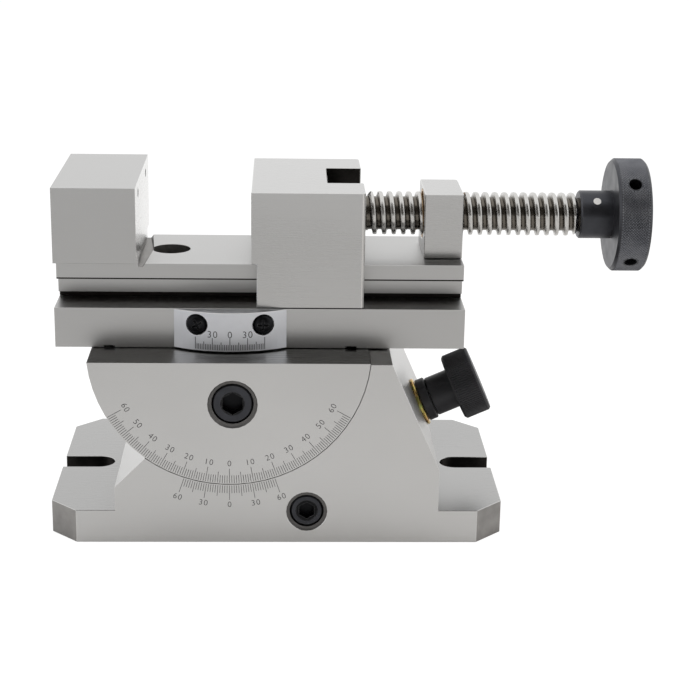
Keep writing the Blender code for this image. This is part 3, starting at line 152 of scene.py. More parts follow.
class ViseScrew(bpy.types.PropertyGroup):
    """Sizes of the clamp screw, its wheel and the knurls."""

    pitch: FloatProperty(name="Screw pitch", description="Distance between two turns of the clamp screw",
                         default=4.0 * MM, min=0.0, subtype="DISTANCE", unit="LENGTH")
    crest: FloatProperty(name="Crest radius", description="Outer radius of the clamp screw's thread",
                         default=9.0 * MM, min=0.0, subtype="DISTANCE", unit="LENGTH")
    root: FloatProperty(name="Root radius", description="Inner radius of the clamp screw's thread",
                        default=6.9 * MM, min=0.0, subtype="DISTANCE", unit="LENGTH")
    knurl_pitch: FloatProperty(name="Knurl pitch", description="Width of a diamond of the handwheel's knurl",
                               default=1.15 * MM, min=0.0, subtype="DISTANCE", unit="LENGTH")
    knurl_depth: FloatProperty(name="Knurl depth", description="Depth of the knurl's grooves",
                               default=0.28 * MM, min=0.0, subtype="DISTANCE", unit="LENGTH")
    knob_pitch: FloatProperty(name="Knob knurl pitch", description="Width of a flute of the worm knob",
                              default=1.0 * MM, min=0.0, subtype="DISTANCE", unit="LENGTH")


class ViseStage(bpy.types.PropertyGroup):
    """The camera, the floor and the light."""

    lens: FloatProperty(name="Focal length", description="Focal length in millimetres on a 36 mm wide sensor",
                        default=90.64, min=10.0)
    camera_place: FloatVectorProperty(name="Camera place", description="Where the camera stands",
                                      default=(0.0206, -0.7085, 0.2870), subtype="TRANSLATION",
                                      unit="LENGTH", size=3)
    pitch: FloatProperty(name="Pitch", description="How far the camera looks down",
                         default=math.radians(17.23), subtype="ANGLE", unit="ROTATION")
    yaw: FloatProperty(name="Yaw", description="How far the camera looks to the right",
                       default=math.radians(2.21), subtype="ANGLE", unit="ROTATION")
    roll: FloatProperty(name="Roll", description="How far the camera leans",
                        default=math.radians(0.946), subtype="ANGLE", unit="ROTATION")
    floor: FloatVectorProperty(name="Floor colour", description="Colour of the floor",
                               default=(0.86, 0.86, 0.86), subtype="COLOR", size=3, min=0.0, max=1.0)
    card: FloatVectorProperty(name="Card colour", description="Light that the dark card gives",
                              default=(0.085, 0.080, 0.074), subtype="COLOR", size=3, min=0.0, max=1.0)
    floor_glow: FloatProperty(name="Floor white", description="Share of plain white in the floor",
                              default=0.72, min=0.0, max=1.0, subtype="FACTOR")


# Scene helpers

def finish_piece(name, mesh, materials, body, stands_for=(), crease=SHARP):
    """Put a finished mesh in the scene on its body."""
    mesh.name = name
    if len(mesh.materials):
        mesh.materials.clear()
    for material in materials:
        mesh.materials.append(material)
    mesh.shade_smooth()
    mesh.set_sharp_from_angle(angle=crease)
    item = bpy.data.objects.new(name, mesh)
    bpy.context.scene.collection.objects.link(item)
    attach(item, body)
    if stands_for:
        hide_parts(*stands_for)
    return item


def evaluated(item):
    """Return an object's mesh with its modifiers applied, and remove the object."""
    if item.name not in bpy.context.scene.collection.objects:
        bpy.context.scene.collection.objects.link(item)
    bpy.context.view_layer.update()
    graph = bpy.context.evaluated_depsgraph_get()
    mesh = bpy.data.meshes.new_from_object(item.evaluated_get(graph))
    bpy.data.objects.remove(item, do_unlink=True)
    return mesh


def mesh_from(work, outwards=True):
    """Turn a bmesh into a mesh."""
    if outwards:
        bmesh.ops.recalc_face_normals(work, faces=work.faces)
    mesh = bpy.data.meshes.new("shape")
    work.to_mesh(mesh)
    work.free()
    return mesh


def joined(meshes):
    """Join meshes into one."""
    work = bmesh.new()
    for mesh in meshes:
        work.from_mesh(mesh)
    mesh = bpy.data.meshes.new("shape")
    work.to_mesh(mesh)
    work.free()
    return mesh


def moved(mesh, matrix):
    """Move a mesh."""
    mesh.transform(matrix)
    return mesh


def turned(profile, segments):
    """A solid of revolution about Z from (radius, z) points.

    The profile either starts and ends on the axis, or runs round a ring.
    """
    work = bmesh.new()
    rings = []
    for radius, z in profile:
        if radius == 0:
            rings.append([work.verts.new((0, 0, z))])
        else:
            angles = [2 * math.pi * step / segments for step in range(segments)]
            rings.append([work.verts.new((radius * math.cos(a), radius * math.sin(a), z)) for a in angles])
    pairs = list(zip(rings, rings[1:]))
    if profile[0][0] != 0:
        pairs.append((rings[-1], rings[0]))
    for first, second in pairs:
        for step in range(segments):
            after = (step + 1) % segments
            corners = [first[step % len(first)], first[after % len(first)],
                       second[after % len(second)], second[step % len(second)]]
            work.faces.new(list(dict.fromkeys(corners)))
    return mesh_from(work)


def hex_prism(flats, start, end):
    """A hexagonal prism along Z."""
    work = bmesh.new()
    radius = flats / math.sqrt(3)
    bmesh.ops.create_cone(work, cap_ends=True, segments=6, radius1=radius, radius2=radius, depth=end - start,
                          matrix=Matrix.Translation((0, 0, (start + end) / 2)))
    return mesh_from(work)


def rod(radius, start, end, segments):
    """A plain cylinder along Z, for cutting."""
    work = bmesh.new()
    bmesh.ops.create_cone(work, cap_ends=True, segments=segments, radius1=radius, radius2=radius,
                          depth=end - start, matrix=Matrix.Translation((0, 0, (start + end) / 2)))
    return mesh_from(work)


def cut_out(mesh, cutters):
    """Take other meshes out of a mesh."""
    item = bpy.data.objects.new("work", mesh)
    tools = []
    for cutter in cutters:
        tool = bpy.data.objects.new("tool", cutter)
        bpy.context.scene.collection.objects.link(tool)
        modifier = item.modifiers.new("cut", "BOOLEAN")
        modifier.operation = "DIFFERENCE"
        modifier.object = tool
        tools.append(tool)
    result = evaluated(item)
    for tool in tools:
        bpy.data.objects.remove(tool, do_unlink=True)
    return result


def facing_front(place):
    """The frame of a piece whose own Z points at the front."""
    return Matrix.Translation(place) @ Matrix.Rotation(math.pi / 2, 4, "X")


def screw_frame():
    """The clamp screw's frame: Z along it towards the handwheel, X up."""
    return Matrix.Translation((0, SCREW_AXIS.y, SCREW_AXIS.z)) @ Matrix.Rotation(math.pi / 2, 4, "Y")


def worm_frame():
    """The worm's frame: Z along it towards its knob."""
    lean = math.atan2(WORM_AXIS.x, WORM_AXIS.z)
    return Matrix.Translation(WORM_POINT) @ Matrix.Rotation(lean, 4, "Y")


def span(node, matrix):
    """Where a CAD node starts and ends along a frame's Z, and its largest radius about it."""
    item = frame["nodes"][node]
    local = [matrix.inverted() @ item.matrix_world @ vertex.co for vertex in item.data.vertices]
    heights = [point.z for point in local]
    return min(heights), max(heights), max(point.xy.length for point in local)


def bent_round(mesh, radius):
    """Wrap a mesh drawn in XZ, its front towards -Y, round a cylinder about Z."""
    for vertex in mesh.vertices:
        reach = radius - vertex.co.y
        angle = vertex.co.x / radius
        vertex.co = (reach * math.sin(angle), -reach * math.cos(angle), vertex.co.z)
    return mesh


def bar_of_text(words, height, depth):
    """A number as a thin flat mesh in XY, centred on the origin, its face towards +Z."""
    curve = bpy.data.curves.new("number", "FONT")
    curve.body = words
    curve.size = height * TEXT_SIZE_SHARE
    curve.offset = -height * TEXT_THIN_SHARE
    curve.extrude = depth
    curve.resolution_u = 3
    curve.align_x = "CENTER"
    curve.align_y = "CENTER"
    curve.space_character = 1.15
    return evaluated(bpy.data.objects.new("number", curve))


# Node helpers

def new_node(tree, kind, settings=None, **inputs):
    """Add a node, set its properties, and link or set its inputs by name or position."""
    node = tree.nodes.new(kind)
    for key, value in (settings or {}).items():
        setattr(node, key, value)
    for key, value in inputs.items():
        numbered = key[0] == "_" and key[1:].isdigit()
        socket = node.inputs[int(key[1:]) if numbered else key.replace("_", " ")]
        if isinstance(value, bpy.types.NodeSocket):
            tree.links.new(value, socket)
        else:
            socket.default_value = value
    return node


def maths(tree, operation, first, second=None):
    """Add a Math node and return its result."""
    node = tree.nodes.new("ShaderNodeMath")
    node.operation = operation
    for socket, value in zip(node.inputs, (first, second)):
        if isinstance(value, bpy.types.NodeSocket):
            tree.links.new(value, socket)
        elif value is not None:
            socket.default_value = value
    return node.outputs[0]


def geometry_tree(name, sizes):
    """A Geometry Nodes tree with a geometry input, named sizes and a geometry output."""
    tree = bpy.data.node_groups.new(name, "GeometryNodeTree")
    tree.interface.new_socket("Geometry", in_out="INPUT", socket_type="NodeSocketGeometry")
    for label, kind in sizes.items():
        tree.interface.new_socket(label, in_out="INPUT", socket_type=kind)
    tree.interface.new_socket("Geometry", in_out="OUTPUT", socket_type="NodeSocketGeometry")
    start = tree.nodes.new("NodeGroupInput")
    end = tree.nodes.new("NodeGroupOutput")
    return tree, start.outputs, end.inputs


def run_tree(tree, mesh, values):
    """Evaluate a Geometry Nodes tree on a mesh and return the plain mesh."""
    item = bpy.data.objects.new("work", mesh)
    modifier = item.modifiers.new("nodes", "NODES")
    modifier.node_group = tree
    for socket in tree.interface.items_tree:
        if socket.in_out == "INPUT" and socket.name in values:
            modifier[socket.identifier] = values[socket.name]
    return evaluated(item)


def close_tree(tree, geometry, material_input, end):
    """End a tree in Realize Instances and Set Material."""
    realize = new_node(tree, "GeometryNodeRealizeInstances", Geometry=geometry)
    paint = new_node(tree, "GeometryNodeSetMaterial", Geometry=realize.outputs[0], Material=material_input)
    tree.links.new(paint.outputs[0], end["Geometry"])


def on_circle(tree, radius, angle, height=0.0):
    """A point on a circle about Z."""
    across, along = (maths(tree, "MULTIPLY", radius, maths(tree, side, angle)) for side in ("COSINE", "SINE"))
    return new_node(tree, "ShaderNodeCombineXYZ", X=across, Y=along, Z=height).outputs[0]


# Materials

PAINT = (0.035, 0.035, 0.038)
WORN_GREY = (0.20, 0.20, 0.20, 1.0)
OILY_SHADED_ROOT = (0.16, 0.145, 0.125, 1.0)
ZINC_ROSE = (0.62, 0.34, 0.16, 1.0)
ZINC_GREEN = (0.42, 0.50, 0.14, 1.0)
ALONG_GRAIN = 14.0
ACROSS_GRAIN = 3200.0
BLACK_SHARES = {"wheel_black": 2.0, "knurl_tips": 5.0, "worn_black": 1.7, "socket_painted_shade": 0.3,
                "small_screw_black": 0.4}


def material_base(name):
    """A new material with its Principled BSDF and its node tree."""
    material = bpy.data.materials.new(name)
    material.use_nodes = True
    tree = material.node_tree
    return material, tree, tree.nodes["Principled BSDF"]


def stretched_noise(tree, coordinates, scale, detail=3.0):
    """Noise whose features are drawn out along the axes with a small scale."""
    mapping = new_node(tree, "ShaderNodeMapping", Vector=coordinates, Scale=scale)
    noise = new_node(tree, "ShaderNodeTexNoise", Vector=mapping.outputs[0], Scale=1.0, Detail=detail)
    return noise.outputs["Fac"]


def spread(tree, value, low, high, source=(0.25, 0.75)):
    """Map a noise value to a range."""
    node = new_node(tree, "ShaderNodeMapRange", _0=value, _1=source[0], _2=source[1], _3=low, _4=high)
    return node.outputs[0]


def toned(colour, factor):
    """A darker or lighter copy of a plain colour."""
    return [factor * share for share in colour]


def shade(tree, colour, factor):
    """Multiply a colour by a factor."""
    node = new_node(tree, "ShaderNodeVectorMath", {"operation": "SCALE"}, _0=colour, Scale=factor)
    return node.outputs[0]


def ground_steel(name, colour, roughness, grain=1.0):
    """Surface ground steel: fine grinding lines along X, or along Y on the faces that look along X."""
    material, tree, shader = material_base(name)
    place = tree.nodes.new("ShaderNodeTexCoord")
    along_x = stretched_noise(tree, place.outputs["Object"], (ALONG_GRAIN, ACROSS_GRAIN, ACROSS_GRAIN))
    along_y = stretched_noise(tree, place.outputs["Object"], (ACROSS_GRAIN, ALONG_GRAIN, ACROSS_GRAIN))
    parts = new_node(tree, "ShaderNodeSeparateXYZ", Vector=place.outputs["Normal"])
    sideways = maths(tree, "GREATER_THAN", maths(tree, "ABSOLUTE", parts.outputs[0]), 0.8)
    either = new_node(tree, "ShaderNodeMix", {"data_type": "FLOAT"}, _0=sideways, _2=along_x, _3=along_y)
    lines = either.outputs[0]
    clouds = stretched_noise(tree, place.outputs["Object"], (16.0, 24.0, 24.0), 3.0)
    tone = maths(tree, "MULTIPLY", spread(tree, lines, 1.0 - 0.01 * grain, 1.0 + 0.01 * grain),
                 spread(tree, clouds, 0.97, 1.03))
    tree.links.new(shade(tree, colour, tone), shader.inputs["Base Color"])
    tree.links.new(maths(tree, "ADD", spread(tree, lines, roughness - 0.02, roughness + 0.02),
                         spread(tree, clouds, -0.02, 0.03)), shader.inputs["Roughness"])
    bump = new_node(tree, "ShaderNodeBump", Strength=0.007 * grain, Distance=0.00001, Height=lines)
    tree.links.new(bump.outputs[0], shader.inputs["Normal"])
    upright = maths(tree, "SUBTRACT", 1.0, sideways)
    grinding = new_node(tree, "ShaderNodeCombineXYZ", X=upright, Y=sideways, Z=0.0)
    tangent = new_node(tree, "ShaderNodeVectorTransform",
                       {"vector_type": "VECTOR", "convert_from": "OBJECT", "convert_to": "WORLD"},
                       Vector=grinding.outputs[0])
    tree.links.new(tangent.outputs[0], shader.inputs["Tangent"])
    shader.inputs["Anisotropic"].default_value = 0.6
    shader.inputs["Metallic"].default_value = 1.0
    return material


def unground_steel_and_shade(name, colour, roughness, spots=0.2):
    """Unground steel of slots, holes, cut corners and the index plate, also used for painted shade; spots is
    how much its tone changes.
    """
    material, tree, shader = material_base(name)
    place = tree.nodes.new("ShaderNodeTexCoord")
    clouds = stretched_noise(tree, place.outputs["Object"], (150.0, 150.0, 150.0), 4.0)
    grain = stretched_noise(tree, place.outputs["Object"], (900.0, 900.0, 900.0), 2.0)
    tree.links.new(shade(tree, colour, spread(tree, clouds, 1.0 - spots, 1.0 + spots)),
                   shader.inputs["Base Color"])
    tree.links.new(spread(tree, clouds, roughness - 0.05, roughness + 0.08), shader.inputs["Roughness"])
    bump = new_node(tree, "ShaderNodeBump", Strength=spots, Distance=0.00002, Height=grain)
    tree.links.new(bump.outputs[0], shader.inputs["Normal"])
    shader.inputs["Metallic"].default_value = 1.0
    return material


def turned_metal(name, colour, roughness, matrix):
    """Turned metal with fine tool rings about a frame's Z axis."""
    material, tree, shader = material_base(name)
    place = tree.nodes.new("ShaderNodeTexCoord")
    radius, along = radius_about(tree, place.outputs["Object"], matrix)
    ringed = new_node(tree, "ShaderNodeCombineXYZ", X=radius, Y=along, Z=0.0)
    lines = stretched_noise(tree, ringed.outputs[0], (2200.0, 2200.0, 1.0))
    clouds = stretched_noise(tree, place.outputs["Object"], (120.0, 120.0, 120.0), 4.0)
    tone = maths(tree, "MULTIPLY", spread(tree, lines, 0.92, 1.06), spread(tree, clouds, 0.9, 1.1))
    tree.links.new(shade(tree, colour, tone), shader.inputs["Base Color"])
    tree.links.new(maths(tree, "ADD", spread(tree, lines, roughness - 0.04, roughness + 0.05),
                         spread(tree, clouds, -0.03, 0.05)), shader.inputs["Roughness"])
    bump = new_node(tree, "ShaderNodeBump", Strength=0.15, Distance=0.00002, Height=lines)
    tree.links.new(bump.outputs[0], shader.inputs["Normal"])
    shader.inputs["Metallic"].default_value = 1.0
    return material


def radius_about(tree, coordinates, matrix):
    """Distance from a frame's Z axis."""
    inverse = matrix.inverted()
    mapping = new_node(tree, "ShaderNodeMapping", Vector=coordinates, Location=inverse.translation,
                       Rotation=inverse.to_euler())
    parts = new_node(tree, "ShaderNodeSeparateXYZ", Vector=mapping.outputs[0])
    squares = [maths(tree, "MULTIPLY", parts.outputs[axis], parts.outputs[axis]) for axis in (0, 1)]
    return maths(tree, "SQRT", maths(tree, "ADD", *squares)), parts.outputs[2]


def thread_metal(name, colour, root, crest):
    """Bright crests over dark roots, darkened partly by oil and partly by painted shade."""
    material, tree, shader = material_base(name)
    place = tree.nodes.new("ShaderNodeTexCoord")
    radius, along = radius_about(tree, place.outputs["Object"], screw_frame())
    # Dark roots: partly oil, partly painted shade
    height = spread(tree, radius, 0.0, 1.0, (root + 0.05 * (crest - root), root + 0.6 * (crest - root)))
    dirt = stretched_noise(tree, place.outputs["Object"], (300.0, 300.0, 300.0), 4.0)
    away_from_root = maths(tree, "MULTIPLY", height, spread(tree, dirt, 0.85, 1.1))
    mixed = new_node(tree, "ShaderNodeMix", {"data_type": "RGBA"}, _0=away_from_root, _6=OILY_SHADED_ROOT,
                     _7=(*colour, 1.0))
    tree.links.new(mixed.outputs[2], shader.inputs["Base Color"])
    tree.links.new(spread(tree, dirt, 0.2, 0.34), shader.inputs["Roughness"])
    ringed = new_node(tree, "ShaderNodeCombineXYZ", X=along, Y=radius, Z=0.0)
    rings = stretched_noise(tree, ringed.outputs[0], (3000.0, 3000.0, 1.0))
    bump = new_node(tree, "ShaderNodeBump", Strength=0.1, Distance=0.00002, Height=rings)
    tree.links.new(bump.outputs[0], shader.inputs["Normal"])
    shader.inputs["Metallic"].default_value = 1.0
    return material


def black_oxide(name, colour):
    """Blackened steel, a little worn to grey on its edges."""
    material, tree, shader = material_base(name)
    place = tree.nodes.new("ShaderNodeTexCoord")
    clouds = stretched_noise(tree, place.outputs["Object"], (180.0, 180.0, 180.0), 4.0)
    grain = stretched_noise(tree, place.outputs["Object"], (2500.0, 2500.0, 2500.0), 2.0)
    rounded = new_node(tree, "ShaderNodeBevel", {"samples": 4}, Radius=0.00035)
    plain = tree.nodes.new("ShaderNodeNewGeometry")
    alike = new_node(tree, "ShaderNodeVectorMath", {"operation": "DOT_PRODUCT"}, _0=rounded.outputs[0],
                     _1=plain.outputs["Normal"])
    edge = new_node(tree, "ShaderNodeMapRange", _0=alike.outputs["Value"], _1=0.98, _2=0.80, _3=0.0, _4=1.0)
    worn = maths(tree, "MULTIPLY", edge.outputs[0], spread(tree, clouds, 0.15, 0.8))
    mixed = new_node(tree, "ShaderNodeMix", {"data_type": "RGBA"}, _0=worn, _6=(*colour, 1.0),
                     _7=WORN_GREY)
    varied = shade(tree, mixed.outputs[2], spread(tree, clouds, 0.8, 1.25))
    tree.links.new(varied, shader.inputs["Base Color"])
    tree.links.new(spread(tree, clouds, 0.3, 0.44), shader.inputs["Roughness"])
    bump = new_node(tree, "ShaderNodeBump", Strength=0.15, Distance=0.00001, Height=grain)
    tree.links.new(bump.outputs[0], shader.inputs["Normal"])
    shader.inputs["Metallic"].default_value = 0.85
    return material


def blackened(name, steel):
    """Blackened steel of one of the named tones."""
    return black_oxide(name, toned(steel.black, BLACK_SHARES[name]))


def frame_black():
    """The frame's own plain black."""
    return bpy.data.materials["black_oxide"]


def plated_zinc(name, colour):
    """Yellow zinc plate, whose colour runs from straw to rose and green."""
    material, tree, shader = material_base(name)
    place = tree.nodes.new("ShaderNodeTexCoord")
    clouds = stretched_noise(tree, place.outputs["Object"], (260.0, 260.0, 260.0), 3.0)
    ramp = new_node(tree, "ShaderNodeValToRGB", Fac=spread(tree, clouds, 0.0, 1.0, (0.3, 0.7)))
    stops = ramp.color_ramp.elements
    stops[0].color = ZINC_ROSE
    stops[1].color = ZINC_GREEN
    middle = stops.new(0.5)
    middle.color = (*colour, 1.0)
    tree.links.new(ramp.outputs[0], shader.inputs["Base Color"])
    tree.links.new(spread(tree, clouds, 0.2, 0.34), shader.inputs["Roughness"])
    shader.inputs["Metallic"].default_value = 1.0
    return material


def mark_fill(name):
    """Dark paint in the engraved lines."""
    material, tree, shader = material_base(name)
    place = tree.nodes.new("ShaderNodeTexCoord")
    grain = stretched_noise(tree, place.outputs["Object"], (900.0, 900.0, 900.0))
    varied = shade(tree, PAINT, spread(tree, grain, 0.6, 1.6))
    tree.links.new(varied, shader.inputs["Base Color"])
    shader.inputs["Roughness"].default_value = 0.55
    return material


# Ground blocks

GROUND_NODES = {
    "base": "base", "cradle": "cradle", "vise_body": "vise", "nut_block": "vise", "index_plate": "vise",
    "moving_jaw": "moving_jaw", "keeper_front": "moving_jaw", "keeper_rear": "moving_jaw",
}
# Painted light and shade: each block's ground steel is made lighter or darker to match how light falls on it
GROUND_PAINTED_LIGHT = {"base": 1.1, "cradle": 1.08, "nut_block": 0.97, "vise_body": 0.93}
GROUND_HAZE = {"vise_body": 0.1, "base": 0.04, "cradle": -0.05}
PLAIN_TONE = 0.97
# Chamfer faces brighter: partly their polish, partly a painted highlight
EDGE_POLISH_AND_HIGHLIGHT = 1.2
# Painted shade: how much darker the counterbores round the lock screws are painted
COUNTERBORE_SHADE_TONE = 0.4
# Painted light and shade on single faces: the base's lug tops and the cradle's seat painted darker, the fixed
# jaw's working face painted lighter
FACE_TONES = {"lug_top_painted_shade": 0.74, "jaw_face_painted_light": 1.5, "seat_painted_shade": 0.6}
SATIN_NODES = ("index_plate",)
FRONT_FLUSH = ("base", "cradle")
SEAM_FILL = 0.2 * MM
SLOT_HALF = 6.36 * MM
SLOT_REACH = 21.9 * MM
POCKET_REACH = 14.8 * MM
FIXED_JAW_INSIDE = 33.0 * MM
POCKET_HALF = 15.9 * MM
SKIN = 0.4 * MM
HOLE_PLACE = 25.5 * MM
HOLE_RADIUS = 8.1 * MM
WEB_HALF = 19.4 * MM
UNDERCUT = 2.6 * MM
DIAGONAL = 0.6
SLOPE = 0.2
SAWN_AREA = 5.0e-5
LUG_HEIGHT = 13.8 * MM
RAIL_RISE = 9.3 * MM
# Height of the painted shadow line under the rail's overhang
RAIL_SHADOW_LINE = 0.6 * MM
RELIEF_WIDTH = 4.3 * MM
RELIEF_LEAN = 1.7 * MM
RELIEF_FOOT_LEAN = 2.7 * MM
JAW_FACE_DEPTH = 12.0 * MM
RINGS = {"cradle": ("swivel_lock_screw", 10.4 * MM), "base": ("tilt_lock_screw", 8.9 * MM)}

# The places of the finishes, painted shades and painted lights in a ground block's list of materials
GROUND, EDGE, RECESS_SHADE, MACHINED_AND_SHADED, COUNTERBORE_SHADE, LUG_TOP_SHADE, JAW_FACE_LIGHT, SEAT_SHADE = range(8)


def base_finish(face, place, low, high):
    """The base's slots get a near-black painted shade, its cut corners a grey painted shade and its lug tops
    a darker painted shade.
    """
    near_end = place.x < low.x + SLOT_REACH or place.x > high.x - SLOT_REACH
    # Painted shade: the slots' walls are near black
    if near_end and abs(place.y) < SLOT_HALF and abs(face.normal.z) < DIAGONAL:
        return RECESS_SHADE
    # Painted shade on the cut corners, on top of their machined finish
    if abs(face.normal.x) > DIAGONAL and abs(face.normal.y) > DIAGONAL and face.calc_area() > SAWN_AREA:
        return MACHINED_AND_SHADED
    # Painted shade: the lug tops are darker
    if face.normal.z > DIAGONAL and face.material_index == GROUND and abs(place.z - LUG_HEIGHT) < SKIN:
        return LUG_TOP_SHADE
    return face.material_index


def jaw_finish(face, place, _low, high):
    """The moving jaw's pocket gets a near-black painted shade."""
    across = abs(place.y) < POCKET_HALF
    along = high.x - POCKET_REACH - SKIN < place.x < high.x - SKIN
    upright = RAIL_TOP + SKIN < place.z < high.z - SKIN
    return RECESS_SHADE if across and along and upright else face.material_index


def body_finish(face, place, _low, high):
    """The vise body's holes, relief groove, jaw pocket, undercut and the line under the rail get painted
    shade, and its jaw face a painted light.
    """
    # Painted shade: the drilled holes are painted grey
    drilled = Vector((abs(place.x) - HOLE_PLACE, place.y)).length < HOLE_RADIUS
    if drilled and BLOCK_TOP < place.z < RAIL_TOP - SKIN:
        return MACHINED_AND_SHADED
    relieved = JAW_FACE - SKIN / 8 < place.x < JAW_FACE + RELIEF_WIDTH
    # Painted shade: the relief groove's wall that faces back towards the jaw is near black, its other faces
    # grey
    if relieved and RAIL_TOP - UNDERCUT < place.z < RAIL_TOP - SKIN:
        return RECESS_SHADE if face.normal.x < -SLOPE else MACHINED_AND_SHADED
    # Painted shade: the fixed jaw's inside is near black
    inside = JAW_FACE - JAW_FACE_DEPTH < place.x < JAW_FACE - SKIN / 2 and abs(place.y) < FIXED_JAW_INSIDE
    if inside and RAIL_TOP + UNDERCUT < place.z < high.z - UNDERCUT:
        return RECESS_SHADE
    # Painted light: the fixed jaw's working face is lighter
    if abs(place.x - JAW_FACE) < SKIN / 8 and face.normal.x > DIAGONAL and place.z > RAIL_TOP:
        return JAW_FACE_LIGHT
    # Painted shade: the undercut over the block top is near black
    if BLOCK_TOP + SKIN / 4 < place.z < BLOCK_TOP + UNDERCUT and abs(place.y) < WEB_HALF:
        return RECESS_SHADE
    # Painted shadow: a thin dark line along the foot of the rail, where its overhang shades the web
    under_rail_shadow = BLOCK_TOP + RAIL_RISE - SKIN / 4 < place.z < BLOCK_TOP + RAIL_RISE + RAIL_SHADOW_LINE
    return RECESS_SHADE if under_rail_shadow and abs(face.normal.z) < 1 - MERGE else face.material_index


def finish_of(node, face, low, high, lock):
    """Which material a face has: most are ground steel, while slots, pockets, holes, counterbores and corners
    get painted shade, and some faces are painted lighter or darker.
    """
    place = face.calc_center_median()
    # Painted shade: the counterbore walls round the lock screws are painted dark
    if node in RINGS and FRONT + SKIN / 4 < place.y < FRONT + SLOT_REACH:
        if Vector((place.x - lock.x, place.z - lock.z)).length < RINGS[node][1]:
            return COUNTERBORE_SHADE
    # Painted shade: the cradle's upward faces are painted darker
    if node == "cradle" and face.normal.z > DIAGONAL and face.material_index == GROUND:
        return SEAT_SHADE
    rules = {"base": base_finish, "moving_jaw": jaw_finish, "vise_body": body_finish}
    return rules[node](face, place, low, high) if node in rules else face.material_index


def settle(node, vertex):
    """Set the front back behind its marks, narrow the round seam and lean the relief groove's far side."""
    if node in FRONT_FLUSH:
        vertex.co.y = max(vertex.co.y, FRONT + 1.5 * MARK_DEPTH)
    if node == "cradle":
        arm = Vector((vertex.co.x - TILT_AXIS.x, 0, vertex.co.z - TILT_AXIS.z))
        if abs(arm.length - CRADLE_RADIUS) < SKIN / 8:
            vertex.co += arm.normalized() * SEAM_FILL
    if node == "vise_body" and abs(vertex.co.y) > SLOT_REACH + SKIN:
        upright = RAIL_TOP - UNDERCUT < vertex.co.z < RAIL_TOP + SKIN
        if upright and abs(vertex.co.x - JAW_FACE - RELIEF_WIDTH) < SKIN:
            vertex.co.x -= RELIEF_LEAN if vertex.co.z > RAIL_TOP - SKIN else RELIEF_FOOT_LEAN


def on_seat(edge):
    """Whether an edge lies on the round seam between the cradle and the base."""
    arms = [vertex.co - TILT_AXIS for vertex in edge.verts]
    reaches = [arm.xz.length for arm in arms]
    return all(CRADLE_RADIUS - SKIN / 4 < reach < CRADLE_RADIUS + SKIN for reach in reaches)


def chamfered_copy(node, leg):
    """A merged copy of a CAD node with its sharp edges broken; the new faces take the second material."""
    work = bmesh.new()
    work.from_mesh(frame["nodes"][node].data)
    work.transform(frame["nodes"][node].matrix_world)
    bmesh.ops.remove_doubles(work, verts=work.verts, dist=MERGE)
    bmesh.ops.dissolve_limit(work, angle_limit=math.radians(0.2), verts=work.verts, edges=work.edges)
    sharp = [edge for edge in work.edges
             if len(edge.link_faces) == 2 and edge.calc_face_angle(0) > SHARP
             and not (node in FRONT_FLUSH and on_seat(edge))]
    bmesh.ops.bevel(work, geom=sharp, offset=leg, offset_type="OFFSET", segments=1, affect="EDGES",
                    clamp_overlap=True, material=1)
    low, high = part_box(node)
    lock = sum(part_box(RINGS[node][0]), Vector()) / 2 if node in RINGS else None
    # Split the body's faces at the top of the painted shadow line under the rail
    if node == "vise_body":
        bmesh.ops.bisect_plane(work, geom=[*work.verts, *work.edges, *work.faces], dist=MERGE,
                               plane_co=(0, 0, BLOCK_TOP + RAIL_RISE + RAIL_SHADOW_LINE), plane_no=(0, 0, 1))
    for vertex in work.verts:
        settle(node, vertex)
    bmesh.ops.triangulate(work, faces=[face for face in work.faces if len(face.verts) > 4])
    work.normal_update()
    for face in work.faces:
        face.material_index = finish_of(node, face, low, high, lock)
    return mesh_from(work, outwards=False)


class VISE_OT_blocks(bpy.types.Operator):
    """Dress the ground blocks: their edges broken and their faces surface ground"""

    bl_idname = "vise.blocks"
    bl_label = "Ground blocks"

    def execute(self, context):
        steel = context.scene.vise_steel
        satin = unground_steel_and_shade("satin_steel", steel.satin, 0.42, 0.05)
        edge = ground_steel("broken_edge_polish_and_highlight", toned(steel.ground, EDGE_POLISH_AND_HIGHLIGHT), 0.2, 0.5)
        # The chamfer's polish with its painted highlight, then the painted shades of recesses, cut corners,
        # holes and counterbores
        others = [edge, unground_steel_and_shade("recess_painted_shade", steel.recess_shade, 0.4),
                  unground_steel_and_shade("unground_steel_and_shade", steel.machined_and_shaded, 0.45),
                  unground_steel_and_shade("counterbore_painted_shade", toned(steel.machined_and_shaded, COUNTERBORE_SHADE_TONE), 0.4)]
        others += [ground_steel(name, toned(steel.ground, share), steel.ground_roughness)
                   for name, share in FACE_TONES.items()]
        for node, body in GROUND_NODES.items():
            ground = satin
            if node not in SATIN_NODES:
                # Each block's tone of painted light and shade
                tone = toned(steel.ground, GROUND_PAINTED_LIGHT.get(node, PLAIN_TONE))
                haze = GROUND_HAZE.get(node, 0.0)
                ground = ground_steel("ground_" + node, tone, steel.ground_roughness + haze)
            mesh = chamfered_copy(node, context.scene.vise_edges.chamfer)
            finish_piece(node + "_ground", mesh, [ground, *others], body, (node,), FACET)
        return {"FINISHED"}


# Engraved scales

